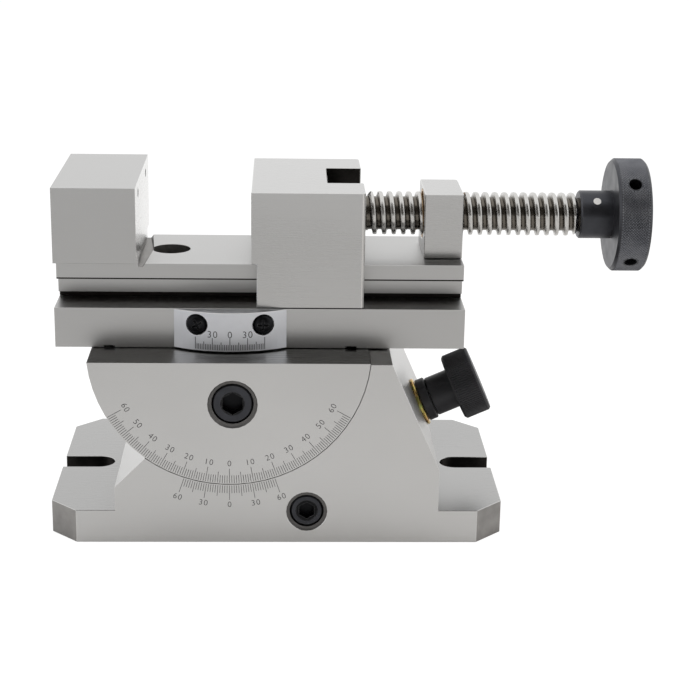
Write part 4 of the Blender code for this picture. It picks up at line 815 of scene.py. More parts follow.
def tick_tree():
    """Bars round Z, each from the circle outwards and upwards; every so many are of another size."""
    tree, start, end = geometry_tree("scale_lines", {
        "Count": "NodeSocketInt", "First Angle": "NodeSocketFloat", "Step": "NodeSocketFloat",
        "Radius": "NodeSocketFloat", "Minor": "NodeSocketVector", "Middle": "NodeSocketVector",
        "Major": "NodeSocketVector", "Middle Every": "NodeSocketInt", "Major Every": "NodeSocketInt",
        "Material": "NodeSocketMaterial"})
    points = new_node(tree, "GeometryNodeMeshLine", Count=start["Count"])
    index = tree.nodes.new("GeometryNodeInputIndex").outputs[0]
    angle = maths(tree, "ADD", start["First Angle"], maths(tree, "MULTIPLY", index, start["Step"]))
    spot = on_circle(tree, start["Radius"], angle)
    placed = new_node(tree, "GeometryNodeSetPosition", Geometry=points.outputs[0], Position=spot)
    size = start["Minor"]
    for label in ("Middle", "Major"):
        share = maths(tree, "MODULO", index, start[label + " Every"])
        size = picked(tree, maths(tree, "LESS_THAN", share, 0.5), size, start[label])
    bar = new_node(tree, "GeometryNodeMeshCube", Size=(1.0, 1.0, 1.0))
    corner = new_node(tree, "GeometryNodeTransform", Geometry=bar.outputs[0], Translation=(0.5, 0.0, 0.5))
    turn = new_node(tree, "ShaderNodeCombineXYZ", X=0.0, Y=0.0, Z=angle)
    instances = new_node(tree, "GeometryNodeInstanceOnPoints", Points=placed.outputs[0],
                         Instance=corner.outputs[0], Rotation=turn.outputs[0], Scale=size)
    close_tree(tree, instances.outputs[0], start["Material"], end)
    return tree


def picked(tree, switch, otherwise, value):
    """Choose between two vectors."""
    node = tree.nodes.new("GeometryNodeSwitch")
    node.input_type = "VECTOR"
    for socket, source in zip(node.inputs, (switch, otherwise, value)):
        tree.links.new(source, socket)
    return node.outputs[0]


def scale_lines(tree, values, matrix):
    """Run the scale's tree and place its lines."""
    mesh = run_tree(tree, bpy.data.meshes.new("seed"), values)
    mesh.transform(matrix)
    return mesh


def numbers_on_arc(labels, step, radius, marks):
    """Numbers about the tilt axis on the front plane, their feet outwards."""
    centre = facing_front((TILT_AXIS.x, FRONT + 2 * MARK_DEPTH, TILT_AXIS.z))
    meshes = []
    for place, words in enumerate(labels):
        angle = (place - (len(labels) - 1) / 2) * step
        mesh = bar_of_text(words, marks.digit, MARK_DEPTH)
        turn = Matrix.Rotation(angle, 4, "Z")
        meshes.append(moved(mesh, centre @ turn @ Matrix.Translation((0, -radius, 0))))
    return meshes


MARK_DEPTH = 0.02 * MM
MARK_INSET = 0.35 * MM
NUMBER_GAP = 0.85 * MM
SCALE_HALF = 60
VERNIER_HALF = 20
INDEX_HALF = 4
INDEX_FOOT = 0.7 * MM
INDEX_LONG = 5.0 * MM
INDEX_SHORT = 3.3 * MM
INDEX_FINE = 2.3 * MM
INDEX_PARTS = 5
INDEX_LINE = 0.26 * MM
INDEX_DIGIT = 2.9 * MM
INDEX_NUMBER_RISE = 7.0 * MM
SCALE_NUMBERS = ("60", "50", "40", "30", "20", "10", "0", "10", "20", "30", "40", "50", "60")
VERNIER_NUMBERS = ("60", "30", "0", "30", "60")
INDEX_NUMBERS = ("30", "0", "30")
FLAT = Matrix(((0, 1, 0, 0), (0, 0, -1, 0), (-1, 0, 0, 0), (0, 0, 0, 1)))
UPRIGHT = Matrix(((0, 1, 0, 0), (-1, 0, 0, 0), (0, 0, 1, 0), (0, 0, 0, 1)))


class VISE_OT_scales(bpy.types.Operator):
    """Engrave the tilt scale, its vernier and the index plate's lines and numbers"""

    bl_idname = "vise.scales"
    bl_label = "Engraved scales"

    def execute(self, context):
        marks = context.scene.vise_marks
        fill = mark_fill("mark_fill")
        tree = tick_tree()
        on_front = Matrix.Translation((TILT_AXIS.x, FRONT + MARK_DEPTH, TILT_AXIS.z)) @ FLAT
        lengths = (marks.minor, marks.middle, marks.major)
        radial = [Vector((length, marks.line, MARK_DEPTH)) for length in lengths]
        inwards = [Vector((-size.x, size.y, size.z)) for size in radial]
        rim = CRADLE_RADIUS - MARK_INSET
        lines = scale_lines(tree, {
            "Count": 2 * SCALE_HALF + 1, "First Angle": -math.radians(SCALE_HALF), "Step": math.radians(1),
            "Radius": rim, "Minor": inwards[0], "Middle": inwards[1], "Major": inwards[2],
            "Middle Every": 5, "Major Every": 10, "Material": fill}, on_front)
        middle = rim - marks.major - NUMBER_GAP - marks.digit / 2
        numbers = numbers_on_arc(SCALE_NUMBERS, math.radians(10), middle, marks)
        finish_piece("tilt_scale", joined([lines, *numbers]), [fill], "cradle")

        rim = CRADLE_RADIUS + 2 * MARK_INSET
        lines = scale_lines(tree, {
            "Count": 2 * VERNIER_HALF + 1, "First Angle": -VERNIER_HALF * marks.vernier_step,
            "Step": marks.vernier_step, "Radius": rim, "Minor": radial[0], "Middle": radial[1],
            "Major": radial[2], "Middle Every": 5, "Major Every": 10, "Material": fill}, on_front)
        middle = rim + marks.major + NUMBER_GAP + marks.digit / 2
        numbers = numbers_on_arc(VERNIER_NUMBERS, 10 * marks.vernier_step, middle, marks)
        finish_piece("tilt_vernier", joined([lines, *numbers]), [fill], "base")

        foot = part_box("index_plate")[0].z
        fine, short, long = [Vector((MARK_DEPTH, INDEX_LINE, height))
                             for height in (INDEX_FINE, INDEX_SHORT, INDEX_LONG)]
        lines = scale_lines(tree, {
            "Count": 2 * INDEX_HALF * INDEX_PARTS + 1, "First Angle": -INDEX_HALF * marks.index_step,
            "Step": marks.index_step / INDEX_PARTS, "Radius": PLATE_RADIUS, "Minor": fine, "Middle": short,
            "Major": long, "Middle Every": INDEX_PARTS, "Major Every": 2 * INDEX_PARTS, "Material": fill},
            Matrix.Translation((0, 0, foot + INDEX_FOOT)) @ UPRIGHT)
        meshes = [lines]
        for place, words in enumerate(INDEX_NUMBERS):
            across = (place - 1) * 2 * marks.index_step * PLATE_RADIUS
            mesh = bar_of_text(words, INDEX_DIGIT, MARK_DEPTH)
            mesh.transform(facing_front((across, 0, foot + INDEX_NUMBER_RISE)))
            meshes.append(bent_round(mesh, PLATE_RADIUS))
        finish_piece("index_marks", joined(meshes), [fill], "vise")
        return {"FINISHED"}


# Clamp screw and handwheel

THREAD_FLANK_SHARES = (0.0, 0.14, 0.20, 0.30, 0.42, 0.50, 0.56, 0.70, 0.80, 0.90)
THREAD_HEIGHT_SHARES = (0.0, 0.0, 0.12, 0.9, 1.0, 1.0, 1.0, 0.9, 0.12, 0.0)
COLLAR_RADIUS = 8.5 * MM
COLLAR_LENGTH = 10.4 * MM
NECK_RADIUS = 5.0 * MM
NECK_LENGTH = 5.9 * MM
NOSE_RADIUS = 6.0 * MM
NOSE_LENGTH = 8.6 * MM
HUB_RADIUS = 10.0 * MM
HUB_LENGTH = 13.4 * MM
HUB_CHAMFER = 0.6 * MM
PIN_RADIUS = 1.6 * MM
PIN_RISE = 0.1 * MM
TOMMY_RADIUS = 2.65 * MM
TOMMY_DEPTH = 12.0 * MM
WHEEL_BORE = 6.3 * MM
WHEEL_EDGE = 1.0 * MM
TOMMY_HOLES = 4
SCREW_CLOCK = math.radians(45)
KNURL_TIP_SHARE = 0.3


def thread_mesh(pitch, root, crest, start, end, columns):
    """A right-hand thread along Z, its two ends run out to the root."""
    work = bmesh.new()
    fade = pitch / 2
    rows = []
    for turn in range(int((end - start) / pitch) + 3):
        for along, height in zip(THREAD_FLANK_SHARES, THREAD_HEIGHT_SHARES):
            row = []
            for column in range(columns + 1):
                share = column / columns
                z = start + (turn - 1 + along + share - 0.5) * pitch
                near = max(0.0, min(1.0, (z - start) / fade, (end - z) / fade))
                radius = root + (crest - root) * height * near
                z = max(start, min(end, z))
                angle = 2 * math.pi * share
                row.append(work.verts.new((radius * math.cos(angle), radius * math.sin(angle), z)))
            rows.append(row)
    for lower, upper in zip(rows, rows[1:]):
        for column in range(columns):
            work.faces.new((lower[column], lower[column + 1], upper[column + 1], upper[column]))
    bmesh.ops.remove_doubles(work, verts=work.verts, dist=MERGE)
    bmesh.ops.dissolve_degenerate(work, dist=MERGE, edges=work.edges)
    bmesh.ops.holes_fill(work, edges=[edge for edge in work.edges if edge.is_boundary], sides=0)
    return mesh_from(work)


def knurl_tree():
    """Small truncated pyramids in staggered rows round Z, left out where a hole enters."""
    tree, start, end = geometry_tree("diamond_knurl", {
        "Around": "NodeSocketInt", "Rows": "NodeSocketInt", "Radius": "NodeSocketFloat",
        "Start": "NodeSocketFloat", "Row Step": "NodeSocketFloat", "Size": "NodeSocketVector",
        "Hole Step": "NodeSocketFloat", "Hole Clock": "NodeSocketFloat", "Hole Height": "NodeSocketFloat",
        "Hole Radius": "NodeSocketFloat", "Material": "NodeSocketMaterial"})
    count = maths(tree, "MULTIPLY", start["Around"], start["Rows"])
    points = new_node(tree, "GeometryNodeMeshLine", Count=count)
    index = tree.nodes.new("GeometryNodeInputIndex").outputs[0]
    row = maths(tree, "FLOOR", maths(tree, "DIVIDE", index, start["Around"]))
    stagger = maths(tree, "MULTIPLY", maths(tree, "MODULO", row, 2.0), 0.5)
    column = maths(tree, "ADD", maths(tree, "MODULO", index, start["Around"]), stagger)
    angle = maths(tree, "DIVIDE", maths(tree, "MULTIPLY", column, 2 * math.pi), start["Around"])
    height = maths(tree, "ADD", start["Start"], maths(tree, "MULTIPLY", row, start["Row Step"]))
    spot = on_circle(tree, start["Radius"], angle, height)
    half = maths(tree, "DIVIDE", start["Hole Step"], 2.0)
    turned_on = maths(tree, "ADD", maths(tree, "SUBTRACT", angle, start["Hole Clock"]), half)
    wrapped = maths(tree, "FLOORED_MODULO", turned_on, start["Hole Step"])
    across = maths(tree, "MULTIPLY", maths(tree, "SUBTRACT", wrapped, half), start["Radius"])
    above = maths(tree, "SUBTRACT", height, start["Hole Height"])
    away = maths(tree, "SQRT", maths(tree, "ADD", maths(tree, "MULTIPLY", across, across),
                                     maths(tree, "MULTIPLY", above, above)))
    placed = new_node(tree, "GeometryNodeSetPosition", Geometry=points.outputs[0], Position=spot)
    facing = new_node(tree, "GeometryNodeCaptureAttribute", Geometry=placed.outputs[0])
    facing.capture_items.new("FLOAT", "Turn")
    facing.capture_items.new("FLOAT", "Away")
    tree.links.new(angle, facing.inputs[1])
    tree.links.new(away, facing.inputs[2])
    near = maths(tree, "LESS_THAN", facing.outputs[2], start["Hole Radius"])
    kept = new_node(tree, "GeometryNodeDeleteGeometry", Geometry=facing.outputs[0], Selection=near)
    cone = new_node(tree, "GeometryNodeMeshCone", Vertices=4)
    cone.inputs["Radius Top"].default_value = KNURL_TIP_SHARE
    cone.inputs["Radius Bottom"].default_value = 1.0
    cone.inputs["Depth"].default_value = 1.0
    flat = new_node(tree, "GeometryNodeTransform", Geometry=cone.outputs[0], Rotation=(0.0, math.pi / 2, 0.0))
    turn = new_node(tree, "ShaderNodeCombineXYZ", X=0.0, Y=0.0, Z=facing.outputs[1])
    instances = new_node(tree, "GeometryNodeInstanceOnPoints", Points=kept.outputs[0],
                         Instance=flat.outputs[0], Rotation=turn.outputs[0], Scale=start["Size"])
    close_tree(tree, instances.outputs[0], start["Material"], end)
    return tree


def knurled(tree, radius, start, end, pitch, depth, material, hole_height=0.0, hole_radius=0.0):
    """Run the knurl's tree over a rim."""
    around = round(2 * math.pi * radius / pitch)
    rows = 2 * round((end - start) / pitch) - 1
    step = (end - start) / (rows + 1)
    return run_tree(tree, bpy.data.meshes.new("seed"), {
        "Around": around, "Rows": rows, "Radius": radius, "Start": start + step, "Row Step": step,
        "Size": Vector((depth, math.pi * radius / around, step)), "Hole Step": 2 * math.pi / TOMMY_HOLES,
        "Hole Clock": SCREW_CLOCK, "Hole Height": hole_height, "Hole Radius": hole_radius,
        "Material": material})


class VISE_OT_screw(bpy.types.Operator):
    """Cut the clamp screw's thread and turn its collar, neck and nose"""

    bl_idname = "vise.screw"
    bl_label = "Clamp screw"

    def execute(self, context):
        sizes = context.scene.vise_screw
        segments = context.scene.vise_edges.round_segments
        low, high, _ = span("clamp_screw", screw_frame())
        hub, _, _ = span("handwheel", screw_frame())
        collar = low + NOSE_LENGTH + NECK_LENGTH
        thread = collar + COLLAR_LENGTH
        nose = turned([(0, low), (NOSE_RADIUS, low), (NOSE_RADIUS, low + NOSE_LENGTH),
                       (NECK_RADIUS, low + NOSE_LENGTH), (NECK_RADIUS, collar),
                       (COLLAR_RADIUS - HUB_CHAMFER, collar), (COLLAR_RADIUS, collar + HUB_CHAMFER),
                       (COLLAR_RADIUS, thread - HUB_CHAMFER),
                       (COLLAR_RADIUS - HUB_CHAMFER, thread), (0, thread)], segments)
        tail = turned([(0, hub), (NOSE_RADIUS, hub), (NOSE_RADIUS, high), (0, high)], segments)
        ridge = thread_mesh(sizes.pitch, sizes.root, sizes.crest, thread, hub, segments)
        whole = moved(joined([nose, ridge, tail]), screw_frame())
        steel = context.scene.vise_steel
        metal = thread_metal("thread_steel", steel.bright, sizes.root, sizes.crest)
        finish_piece("clamp_screw_turned", whole, [metal], "clamp_screw", ("clamp_screw",))
        return {"FINISHED"}


class VISE_OT_wheel(bpy.types.Operator):
    """Turn and knurl the handwheel, drill its tommy bar holes and pin it to the screw"""

    bl_idname = "vise.wheel"
    bl_label = "Handwheel"

    def execute(self, context):
        sizes = context.scene.vise_screw
        segments = context.scene.vise_edges.round_segments
        start, end, radius = span("handwheel", screw_frame())
        face = start + HUB_LENGTH
        core = radius - sizes.knurl_depth
        wheel = turned([(WHEEL_BORE, start), (HUB_RADIUS - HUB_CHAMFER, start),
                        (HUB_RADIUS, start + HUB_CHAMFER), (HUB_RADIUS, face), (core - WHEEL_EDGE, face),
                        (core, face + WHEEL_EDGE), (core, end - WHEEL_EDGE), (core - WHEEL_EDGE, end),
                        (WHEEL_BORE, end)], 2 * segments)
        middle = (face + end) / 2
        drills = []
        for index in range(TOMMY_HOLES):
            clock = SCREW_CLOCK + index * 2 * math.pi / TOMMY_HOLES
            turn = Matrix.Rotation(clock, 4, "Z") @ Matrix.Rotation(math.pi / 2, 4, "Y")
            drill = rod(TOMMY_RADIUS, radius - TOMMY_DEPTH, radius + TOMMY_DEPTH, 32)
            drills.append(moved(drill, Matrix.Translation((0, 0, middle)) @ turn))
        wheel = cut_out(wheel, drills)
        steel = context.scene.vise_steel
        wheel_black = blackened("wheel_black", steel)
        tips = blackened("knurl_tips", steel)
        bare = TOMMY_RADIUS + sizes.knurl_pitch / 2
        rim = knurled(knurl_tree(), core, face + WHEEL_EDGE, end - WHEEL_EDGE, sizes.knurl_pitch,
                      sizes.knurl_depth, tips, middle, bare)
        finish_piece("handwheel_turned", moved(wheel, screw_frame()), [wheel_black], "clamp_screw",
                     ("handwheel",))
        finish_piece("handwheel_knurl", moved(rim, screw_frame()), [tips], "clamp_screw")
        across = Matrix.Rotation(SCREW_CLOCK, 4, "Z") @ Matrix.Rotation(math.pi / 2, 4, "Y")
        reach = HUB_RADIUS + PIN_RISE
        pin = turned([(0, -reach), (PIN_RADIUS, -reach), (PIN_RADIUS, reach), (0, reach)], 32)
        pin.transform(screw_frame() @ Matrix.Translation((0, 0, (start + face) / 2)) @ across)
        metal = ground_steel("pin_steel", steel.bright, 0.3)
        finish_piece("handwheel_pin_turned", pin, [metal], "clamp_screw",
                     ("handwheel_pin",))
        return {"FINISHED"}


# Worm knob

BUSH_FLANGE = 1.0 * MM
BUSH_SHOULDER = 8.9 * MM
BUSH_BORE = 5.3 * MM
KNOB_HUB_RADIUS = 8.5 * MM
KNOB_HUB_LENGTH = 10.1 * MM
KNOB_EDGE = 0.9 * MM
KNOB_PIN_RADIUS = 1.25 * MM
KNOB_PIN_REACH = 8.75 * MM
COLLAR_EDGE = 0.4 * MM


def fluted(radius, depth, pitch, start, end, edge):
    """A straight knurled head along Z with chamfered ends."""
    count = round(2 * math.pi * radius / pitch)
    work = bmesh.new()
    rings = []
    for inset, z in ((edge, start), (0.0, start + edge), (0.0, end - edge), (edge, end)):
        ring = []
        for step in range(4 * count):
            angle = math.pi * step / (2 * count)
            valley = depth * (step % 4 in (0, 1)) * (inset == 0)
            reach = radius - inset - valley
            ring.append(work.verts.new((reach * math.cos(angle), reach * math.sin(angle), z)))
        rings.append(ring)
    for lower, upper in zip(rings, rings[1:]):
        for step in range(4 * count):
            after = (step + 1) % (4 * count)
            work.faces.new((lower[step], lower[after], upper[after], upper[step]))
    work.faces.new(rings[0])
    work.faces.new(rings[-1])
    return mesh_from(work)


class VISE_OT_knob(bpy.types.Operator):
    """Turn the worm's knob, collar, pin and plated bush"""

    bl_idname = "vise.knob"
    bl_label = "Worm knob"

    def execute(self, context):
        sizes = context.scene.vise_screw
        segments = context.scene.vise_edges.round_segments
        steel = context.scene.vise_steel
        worm = worm_frame()
        black = frame_black()
        start, end, radius = span("worm_bush", worm)
        bush = turned([(BUSH_BORE, start), (BUSH_SHOULDER, start), (BUSH_SHOULDER, end - BUSH_FLANGE),
                       (radius, end - BUSH_FLANGE), (radius, end - COLLAR_EDGE), (radius - COLLAR_EDGE, end),
                       (BUSH_BORE, end)], segments)
        zinc = plated_zinc("yellow_zinc", steel.zinc)
        finish_piece("worm_bush_turned", moved(bush, worm), [zinc], "base", ("worm_bush",))
        start, end, radius = span("worm_collar", worm)
        collar = turned([(BUSH_BORE, start), (radius - COLLAR_EDGE, start), (radius, start + COLLAR_EDGE),
                         (radius, end - COLLAR_EDGE), (radius - COLLAR_EDGE, end),
                         (BUSH_BORE, end)], segments)
        finish_piece("worm_collar_turned", moved(collar, worm), [black], "worm",
                     ("worm_collar",))
        start, end, radius = span("worm_knob", worm)
        head = fluted(radius, sizes.knurl_depth, sizes.knob_pitch, start + KNOB_HUB_LENGTH, end, KNOB_EDGE)
        hub = turned([(BUSH_BORE, start), (KNOB_HUB_RADIUS - COLLAR_EDGE, start),
                      (KNOB_HUB_RADIUS, start + COLLAR_EDGE), (KNOB_HUB_RADIUS, start + KNOB_HUB_LENGTH),
                      (BUSH_BORE, start + KNOB_HUB_LENGTH)], segments)
        finish_piece("worm_knob_turned", moved(joined([hub, head]), worm), [black], "worm",
                     ("worm_knob",))
        pin = turned([(0, -KNOB_PIN_REACH), (KNOB_PIN_RADIUS, -KNOB_PIN_REACH),
                      (KNOB_PIN_RADIUS, KNOB_PIN_REACH), (0, KNOB_PIN_REACH)], 24)
        pin.transform(pin_frame("worm_knob_pin"))
        finish_piece("worm_knob_pin_turned", pin, [black], "worm", ("worm_knob_pin",))
        return {"FINISHED"}


def pin_frame(node):
    """The frame of a straight pin: its middle, and Z along its longest stretch."""
    item = frame["nodes"][node]
    points = [item.matrix_world @ vertex.co for vertex in item.data.vertices]
    middle = sum(points, Vector()) / len(points)
    far = max(points, key=lambda point: (point - middle).length)
    ends = [point for point in points if (point - middle).dot(far - middle) > 0]
    axis = sum(ends, Vector()) / len(ends) - middle
    return Matrix.Translation(middle) @ axis.to_track_quat("Z", "Y").to_matrix().to_4x4()


# Screw heads on the front

SOCKET_EDGE = 0.5 * MM
PAN_RADIUS = 4.1 * MM
PAN_HEIGHT = 2.6 * MM
PAN_RISE_SHARES = ((0.0, 1.0), (0.35, 0.96), (0.65, 0.84), (0.86, 0.62), (0.97, 0.34), (1.0, 0.12))
CROSS_LENGTH = 4.4 * MM
CROSS_WIDTH = 0.95 * MM
CROSS_DEPTH = 1.6 * MM
CROSS_CLOCKS = {"left": math.radians(28), "right": 0.0}
LOCK_SCREWS = {
    "swivel_lock": {"head": 7.95 * MM, "height": 10.0 * MM, "thread": 5.0 * MM, "flats": 8.2 * MM,
                    "depth": 5.0 * MM, "mouth": 4.9 * MM},
    "tilt_lock": {"head": 6.45 * MM, "height": 8.0 * MM, "thread": 4.0 * MM, "flats": 6.2 * MM,
                  "depth": 4.2 * MM, "mouth": 4.5 * MM},
}


def socket_screw(node, head, height, thread, flats, depth, mouth):
    """A socket head screw that looks at the front, its socket countersunk and a corner of it up."""
    low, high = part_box(node)
    place = Vector(((low.x + high.x) / 2, low.y, (low.z + high.z) / 2))
    length = high.y - low.y
    floor = SOCKET_EDGE / 2
    body = turned([(0, -length), (thread, -length), (thread, -height), (head, -height), (head, -SOCKET_EDGE),
                   (head - SOCKET_EDGE, 0), (mouth, 0), (mouth - floor, -floor), (0, -floor)], 96)
    body = cut_out(body, [hex_prism(flats, -depth, depth)])
    for face in body.polygons:
        # Painted shade: the faces inside the socket take the second, darker black
        face.material_index = int(face.center.xy.length < mouth - MERGE and face.center.z > -depth - MERGE)
    return moved(body, facing_front(place))


def cross_screw(node, clock):
    """A pan head screw with a cross recess."""
    low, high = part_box(node)
    place = Vector(((low.x + high.x) / 2, low.y, (low.z + high.z) / 2))
    length = high.y - low.y
    profile = [(share * PAN_RADIUS, (rise - 1) * PAN_HEIGHT) for share, rise in PAN_RISE_SHARES]
    profile += [(PAN_RADIUS, -PAN_HEIGHT), (PAN_RADIUS / 2, -PAN_HEIGHT), (PAN_RADIUS / 2, -length),
                (0, -length)]
    slots = []
    for turn in (clock, clock + math.pi / 2):
        work = bmesh.new()
        bmesh.ops.create_cube(work, size=1, matrix=Matrix.Rotation(turn, 4, "Z")
                              @ Matrix.Diagonal((CROSS_LENGTH, CROSS_WIDTH, 2 * CROSS_DEPTH, 1)))
        slots.append(mesh_from(work))
    return moved(cut_out(turned(profile, 64), slots), facing_front(place))


class VISE_OT_heads(bpy.types.Operator):
    """Make the two lock screws and the index plate's two screws"""

    bl_idname = "vise.heads"
    bl_label = "Screw heads"

    def execute(self, context):
        steel = context.scene.vise_steel
        lock_metals = [blackened("worn_black", steel), blackened("socket_painted_shade", steel)]
        for body, sizes in LOCK_SCREWS.items():
            node = body + "_screw"
            mesh = socket_screw(node, **sizes)
            finish_piece(node + "_turned", mesh, lock_metals, body, (node,))
        small_black = blackened("small_screw_black", steel)
        for side, clock in CROSS_CLOCKS.items():
            node = "index_plate_screw_" + side
            mesh = cross_screw(node, clock)
            finish_piece(node + "_turned", mesh, [small_black], "vise", (node,))
        return {"FINISHED"}


# Pieces that keep their CAD shape

BRONZE_NODES = ("tilt_lock_pad", "worm_end_bush", "swivel_lock_pad", "screw_nut")
BRIGHT_NODES = ("worm_wheel_sector", "worm_shaft", "swivel_spindle", "thrust_button", "screw_retainer")


class VISE_OT_others(bpy.types.Operator):
    """Give the remaining CAD nodes their metals"""

    bl_idname = "vise.others"
    bl_label = "Other pieces"

    def execute(self, context):
        steel = context.scene.vise_steel
        bronze = turned_metal("bronze", steel.bronze, 0.34, screw_frame())
        bright = turned_metal("bright_steel", steel.bright, 0.24, Matrix.Identity(4))
        black = frame_black()
        of_metal = {node: bronze for node in BRONZE_NODES} | {node: bright for node in BRIGHT_NODES}
        for node, item in frame["nodes"].items():
            metal = of_metal.get(node, black if "_screw_" in node else None)
            if metal and not item.hide_render:
                item.data.materials.clear()
                item.data.materials.append(metal)
        return {"FINISHED"}


# The stage

FLOOR_GLOW_STRENGTH = 1.25
FLOOR_REACH = 6.0
FLOOR_DROP = 0.1 * MM
WHITE_FROM_CENTRE = (0.6, 1.1)
WHITE_BEHIND = (0.1, 0.4)
CARD_NEAR = Vector((1.15, -1.6, 0.10))
CARD_FAR = Vector((1.0, -1.0, 2.3))
WORLD_LIGHT = 0.5
WHITE = (1.0, 1.0, 1.0, 1.0)
SENSOR_WIDTH = 36.0
CLIP_START = 0.01
CLIP_END = 50.0

# Each lamp's place, the point it looks at, its size, power and colour
LAMPS = {
    "overhead": ((-0.04, 0.02, 0.64), (0.0, -0.02, 0.0), 0.5, 1.9, (1.0, 1.0, 1.0)),
    "side": ((0.75, -0.30, 0.55), (0.1, -0.05, 0.05), 0.6, 1.2, (1.0, 0.86, 0.70)),
}


class VISE_OT_stage(bpy.types.Operator):
    """Set up the floor, the light and the camera"""

    bl_idname = "vise.stage"
    bl_label = "Stage"

    def execute(self, context):
        stage = context.scene.vise_stage
        build_floor(stage)
        build_card(stage)
        build_world()
        build_camera(context, stage)
        context.scene.view_settings.view_transform = "Standard"
        return {"FINISHED"}


def flat_card(name, corners, material):
    """A flat quadrilateral that isn't part of the object."""
    mesh = bpy.data.meshes.new(name)
    mesh.from_pydata(corners, [], [(0, 1, 2, 3)])
    mesh.materials.append(material)
    item = bpy.data.objects.new(name, mesh)
    bpy.context.scene.collection.objects.link(item)
    item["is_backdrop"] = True
    return item


def seen_directly(tree):
    """One for rays from the camera and from glossy and transmitting surfaces, else zero."""
    rays = tree.nodes.new("ShaderNodeLightPath")
    both = maths(tree, "ADD", rays.outputs["Is Camera Ray"], rays.outputs["Is Glossy Ray"])
    return maths(tree, "MINIMUM", maths(tree, "ADD", both, rays.outputs["Is Transmission Ray"]), 1.0)


def build_floor(stage):
    """A plain pale floor that keeps a soft shadow; metal sees it white where it is far from the object."""
    material, tree, shader = material_base("pale_floor")
    shader.inputs["Base Color"].default_value = (*stage.floor, 1.0)
    shader.inputs["Roughness"].default_value = 0.9
    shader.inputs["Specular IOR Level"].default_value = 0.0
    glow = new_node(tree, "ShaderNodeEmission", Color=WHITE, Strength=FLOOR_GLOW_STRENGTH)
    rays = tree.nodes.new("ShaderNodeLightPath")
    place = tree.nodes.new("ShaderNodeTexCoord")
    distance = new_node(tree, "ShaderNodeVectorMath", {"operation": "LENGTH"}, _0=place.outputs["Object"])
    far = new_node(tree, "ShaderNodeMapRange", Value=distance.outputs["Value"],
                   From_Min=WHITE_FROM_CENTRE[0], From_Max=WHITE_FROM_CENTRE[1])
    depth = new_node(tree, "ShaderNodeSeparateXYZ", Vector=place.outputs["Object"]).outputs[1]
    behind = new_node(tree, "ShaderNodeMapRange", Value=depth, From_Min=WHITE_BEHIND[0],
                      From_Max=WHITE_BEHIND[1])
    white = maths(tree, "MAXIMUM", far.outputs[0], behind.outputs[0])
    mirrored = maths(tree, "MULTIPLY", rays.outputs["Is Glossy Ray"], white)
    visible = maths(tree, "ADD", rays.outputs["Is Camera Ray"], rays.outputs["Is Transmission Ray"])
    clear = maths(tree, "ADD", visible, mirrored)
    share = maths(tree, "MULTIPLY", maths(tree, "MINIMUM", clear, 1.0), stage.floor_glow)
    mixed = new_node(tree, "ShaderNodeMixShader", _0=share, _1=shader.outputs[0], _2=glow.outputs[0])
    tree.links.new(mixed.outputs[0], tree.nodes["Material Output"].inputs["Surface"])
    level = CAD_LOW.z - FLOOR_DROP
    corners = [(FLOOR_REACH * x, FLOOR_REACH * y, level) for x, y in ((-1, -1), (1, -1), (1, 1), (-1, 1))]
    flat_card("floor", corners, material)


def build_card(stage):
    """A dark card that stands behind the camera and that only metal sees."""
    material, tree, shader = material_base("dark_card")
    shader.inputs["Base Color"].default_value = (0.0, 0.0, 0.0, 1.0)
    shader.inputs["Specular IOR Level"].default_value = 0.0
    shader.inputs["Emission Color"].default_value = (*stage.card, 1.0)
    shader.inputs["Emission Strength"].default_value = 1.0
    mirror = Vector((-1, 1, 1))
    card = flat_card("dark_card", [CARD_NEAR * mirror, CARD_NEAR, CARD_FAR, CARD_FAR * mirror], material)
    card.visible_camera = False
    card.visible_diffuse = False
    card.visible_shadow = False


def build_world():
    """A plain white surrounding, a little dimmer as a light than as a background."""
    world = bpy.data.worlds.new("studio")
    world.use_nodes = True
    bpy.context.scene.world = world
    tree = world.node_tree
    light = tree.nodes["Background"]
    light.inputs["Color"].default_value = WHITE
    light.inputs["Strength"].default_value = WORLD_LIGHT
    white = new_node(tree, "ShaderNodeBackground", Color=WHITE, Strength=1.0)
    mixed = new_node(tree, "ShaderNodeMixShader", _0=seen_directly(tree), _1=light.outputs[0],
                     _2=white.outputs[0])
    tree.links.new(mixed.outputs[0], tree.nodes["World Output"].inputs["Surface"])
    for name, values in LAMPS.items():
        lamp(name, *values)


def lamp(name, place, target, size, power, colour):
    """A soft square lamp that looks at a point."""
    data = bpy.data.lights.new(name, "AREA")
    data.shape = "SQUARE"
    data.size = size
    data.energy = power
    data.color = colour
    item = bpy.data.objects.new(name, data)
    aim = (Vector(target) - Vector(place)).to_track_quat("-Z", "Y")
    item.matrix_world = Matrix.Translation(place) @ aim.to_matrix().to_4x4()
    item.visible_glossy = False
    bpy.context.scene.collection.objects.link(item)


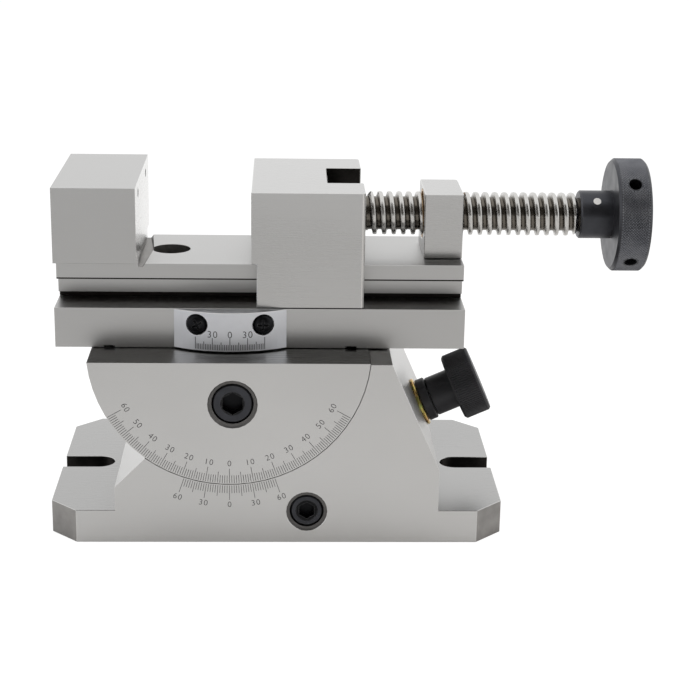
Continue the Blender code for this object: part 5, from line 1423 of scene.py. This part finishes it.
def build_camera(context, stage):
    """The camera at the photograph's angle."""
    data = bpy.data.cameras.new("camera")
    data.sensor_width = SENSOR_WIDTH
    data.lens = stage.lens
    data.clip_start = CLIP_START
    data.clip_end = CLIP_END
    item = bpy.data.objects.new("camera", data)
    context.scene.collection.objects.link(item)
    level = Vector((math.sin(stage.yaw), math.cos(stage.yaw), 0.0))
    ahead = math.cos(stage.pitch) * level - math.sin(stage.pitch) * Vector((0, 0, 1))
    right = Vector((math.cos(stage.yaw), -math.sin(stage.yaw), 0.0))
    up = right.cross(ahead)
    leaned_right = math.cos(stage.roll) * right + math.sin(stage.roll) * up
    leaned_up = math.cos(stage.roll) * up - math.sin(stage.roll) * right
    turn = Matrix((leaned_right, leaned_up, -ahead)).transposed()
    item.matrix_world = Matrix.Translation(stage.camera_place) @ turn.to_4x4()
    context.scene.camera = item


# Panel and registration

SETTINGS = (("vise_edges", ViseEdges), ("vise_steel", ViseSteel), ("vise_marks", ViseMarks),
            ("vise_screw", ViseScrew), ("vise_stage", ViseStage))
OPERATORS = (VISE_OT_blocks, VISE_OT_scales, VISE_OT_screw, VISE_OT_wheel, VISE_OT_knob, VISE_OT_heads,
             VISE_OT_others, VISE_OT_stage)


class VISE_PT_panel(bpy.types.Panel):
    """Lists the steps and their settings in the 3D view's sidebar"""

    bl_idname = "VISE_PT_panel"
    bl_label = "Tilting Swivel Vise"
    bl_space_type = "VIEW_3D"
    bl_region_type = "UI"
    bl_category = "Vise"

    def draw(self, context):
        for operator in OPERATORS:
            self.layout.operator(operator.bl_idname)
        for name, group in SETTINGS:
            box = self.layout.box()
            box.label(text=group.__doc__)
            for key in group.__annotations__:
                box.prop(getattr(context.scene, name), key)


def register():
    for name, group in SETTINGS:
        bpy.utils.register_class(group)
        setattr(bpy.types.Scene, name, PointerProperty(type=group))
    for operator in OPERATORS:
        bpy.utils.register_class(operator)
    bpy.utils.register_class(VISE_PT_panel)


def unregister():
    bpy.utils.unregister_class(VISE_PT_panel)
    for operator in reversed(OPERATORS):
        bpy.utils.unregister_class(operator)
    for name, group in reversed(SETTINGS):
        delattr(bpy.types.Scene, name)
        bpy.utils.unregister_class(group)


def main():
    """Build every piece and the stage."""
    register()
    for operator in OPERATORS:
        group, name = operator.bl_idname.split(".")
        getattr(getattr(bpy.ops, group), name)()


if __name__ == "__main__":
    main()
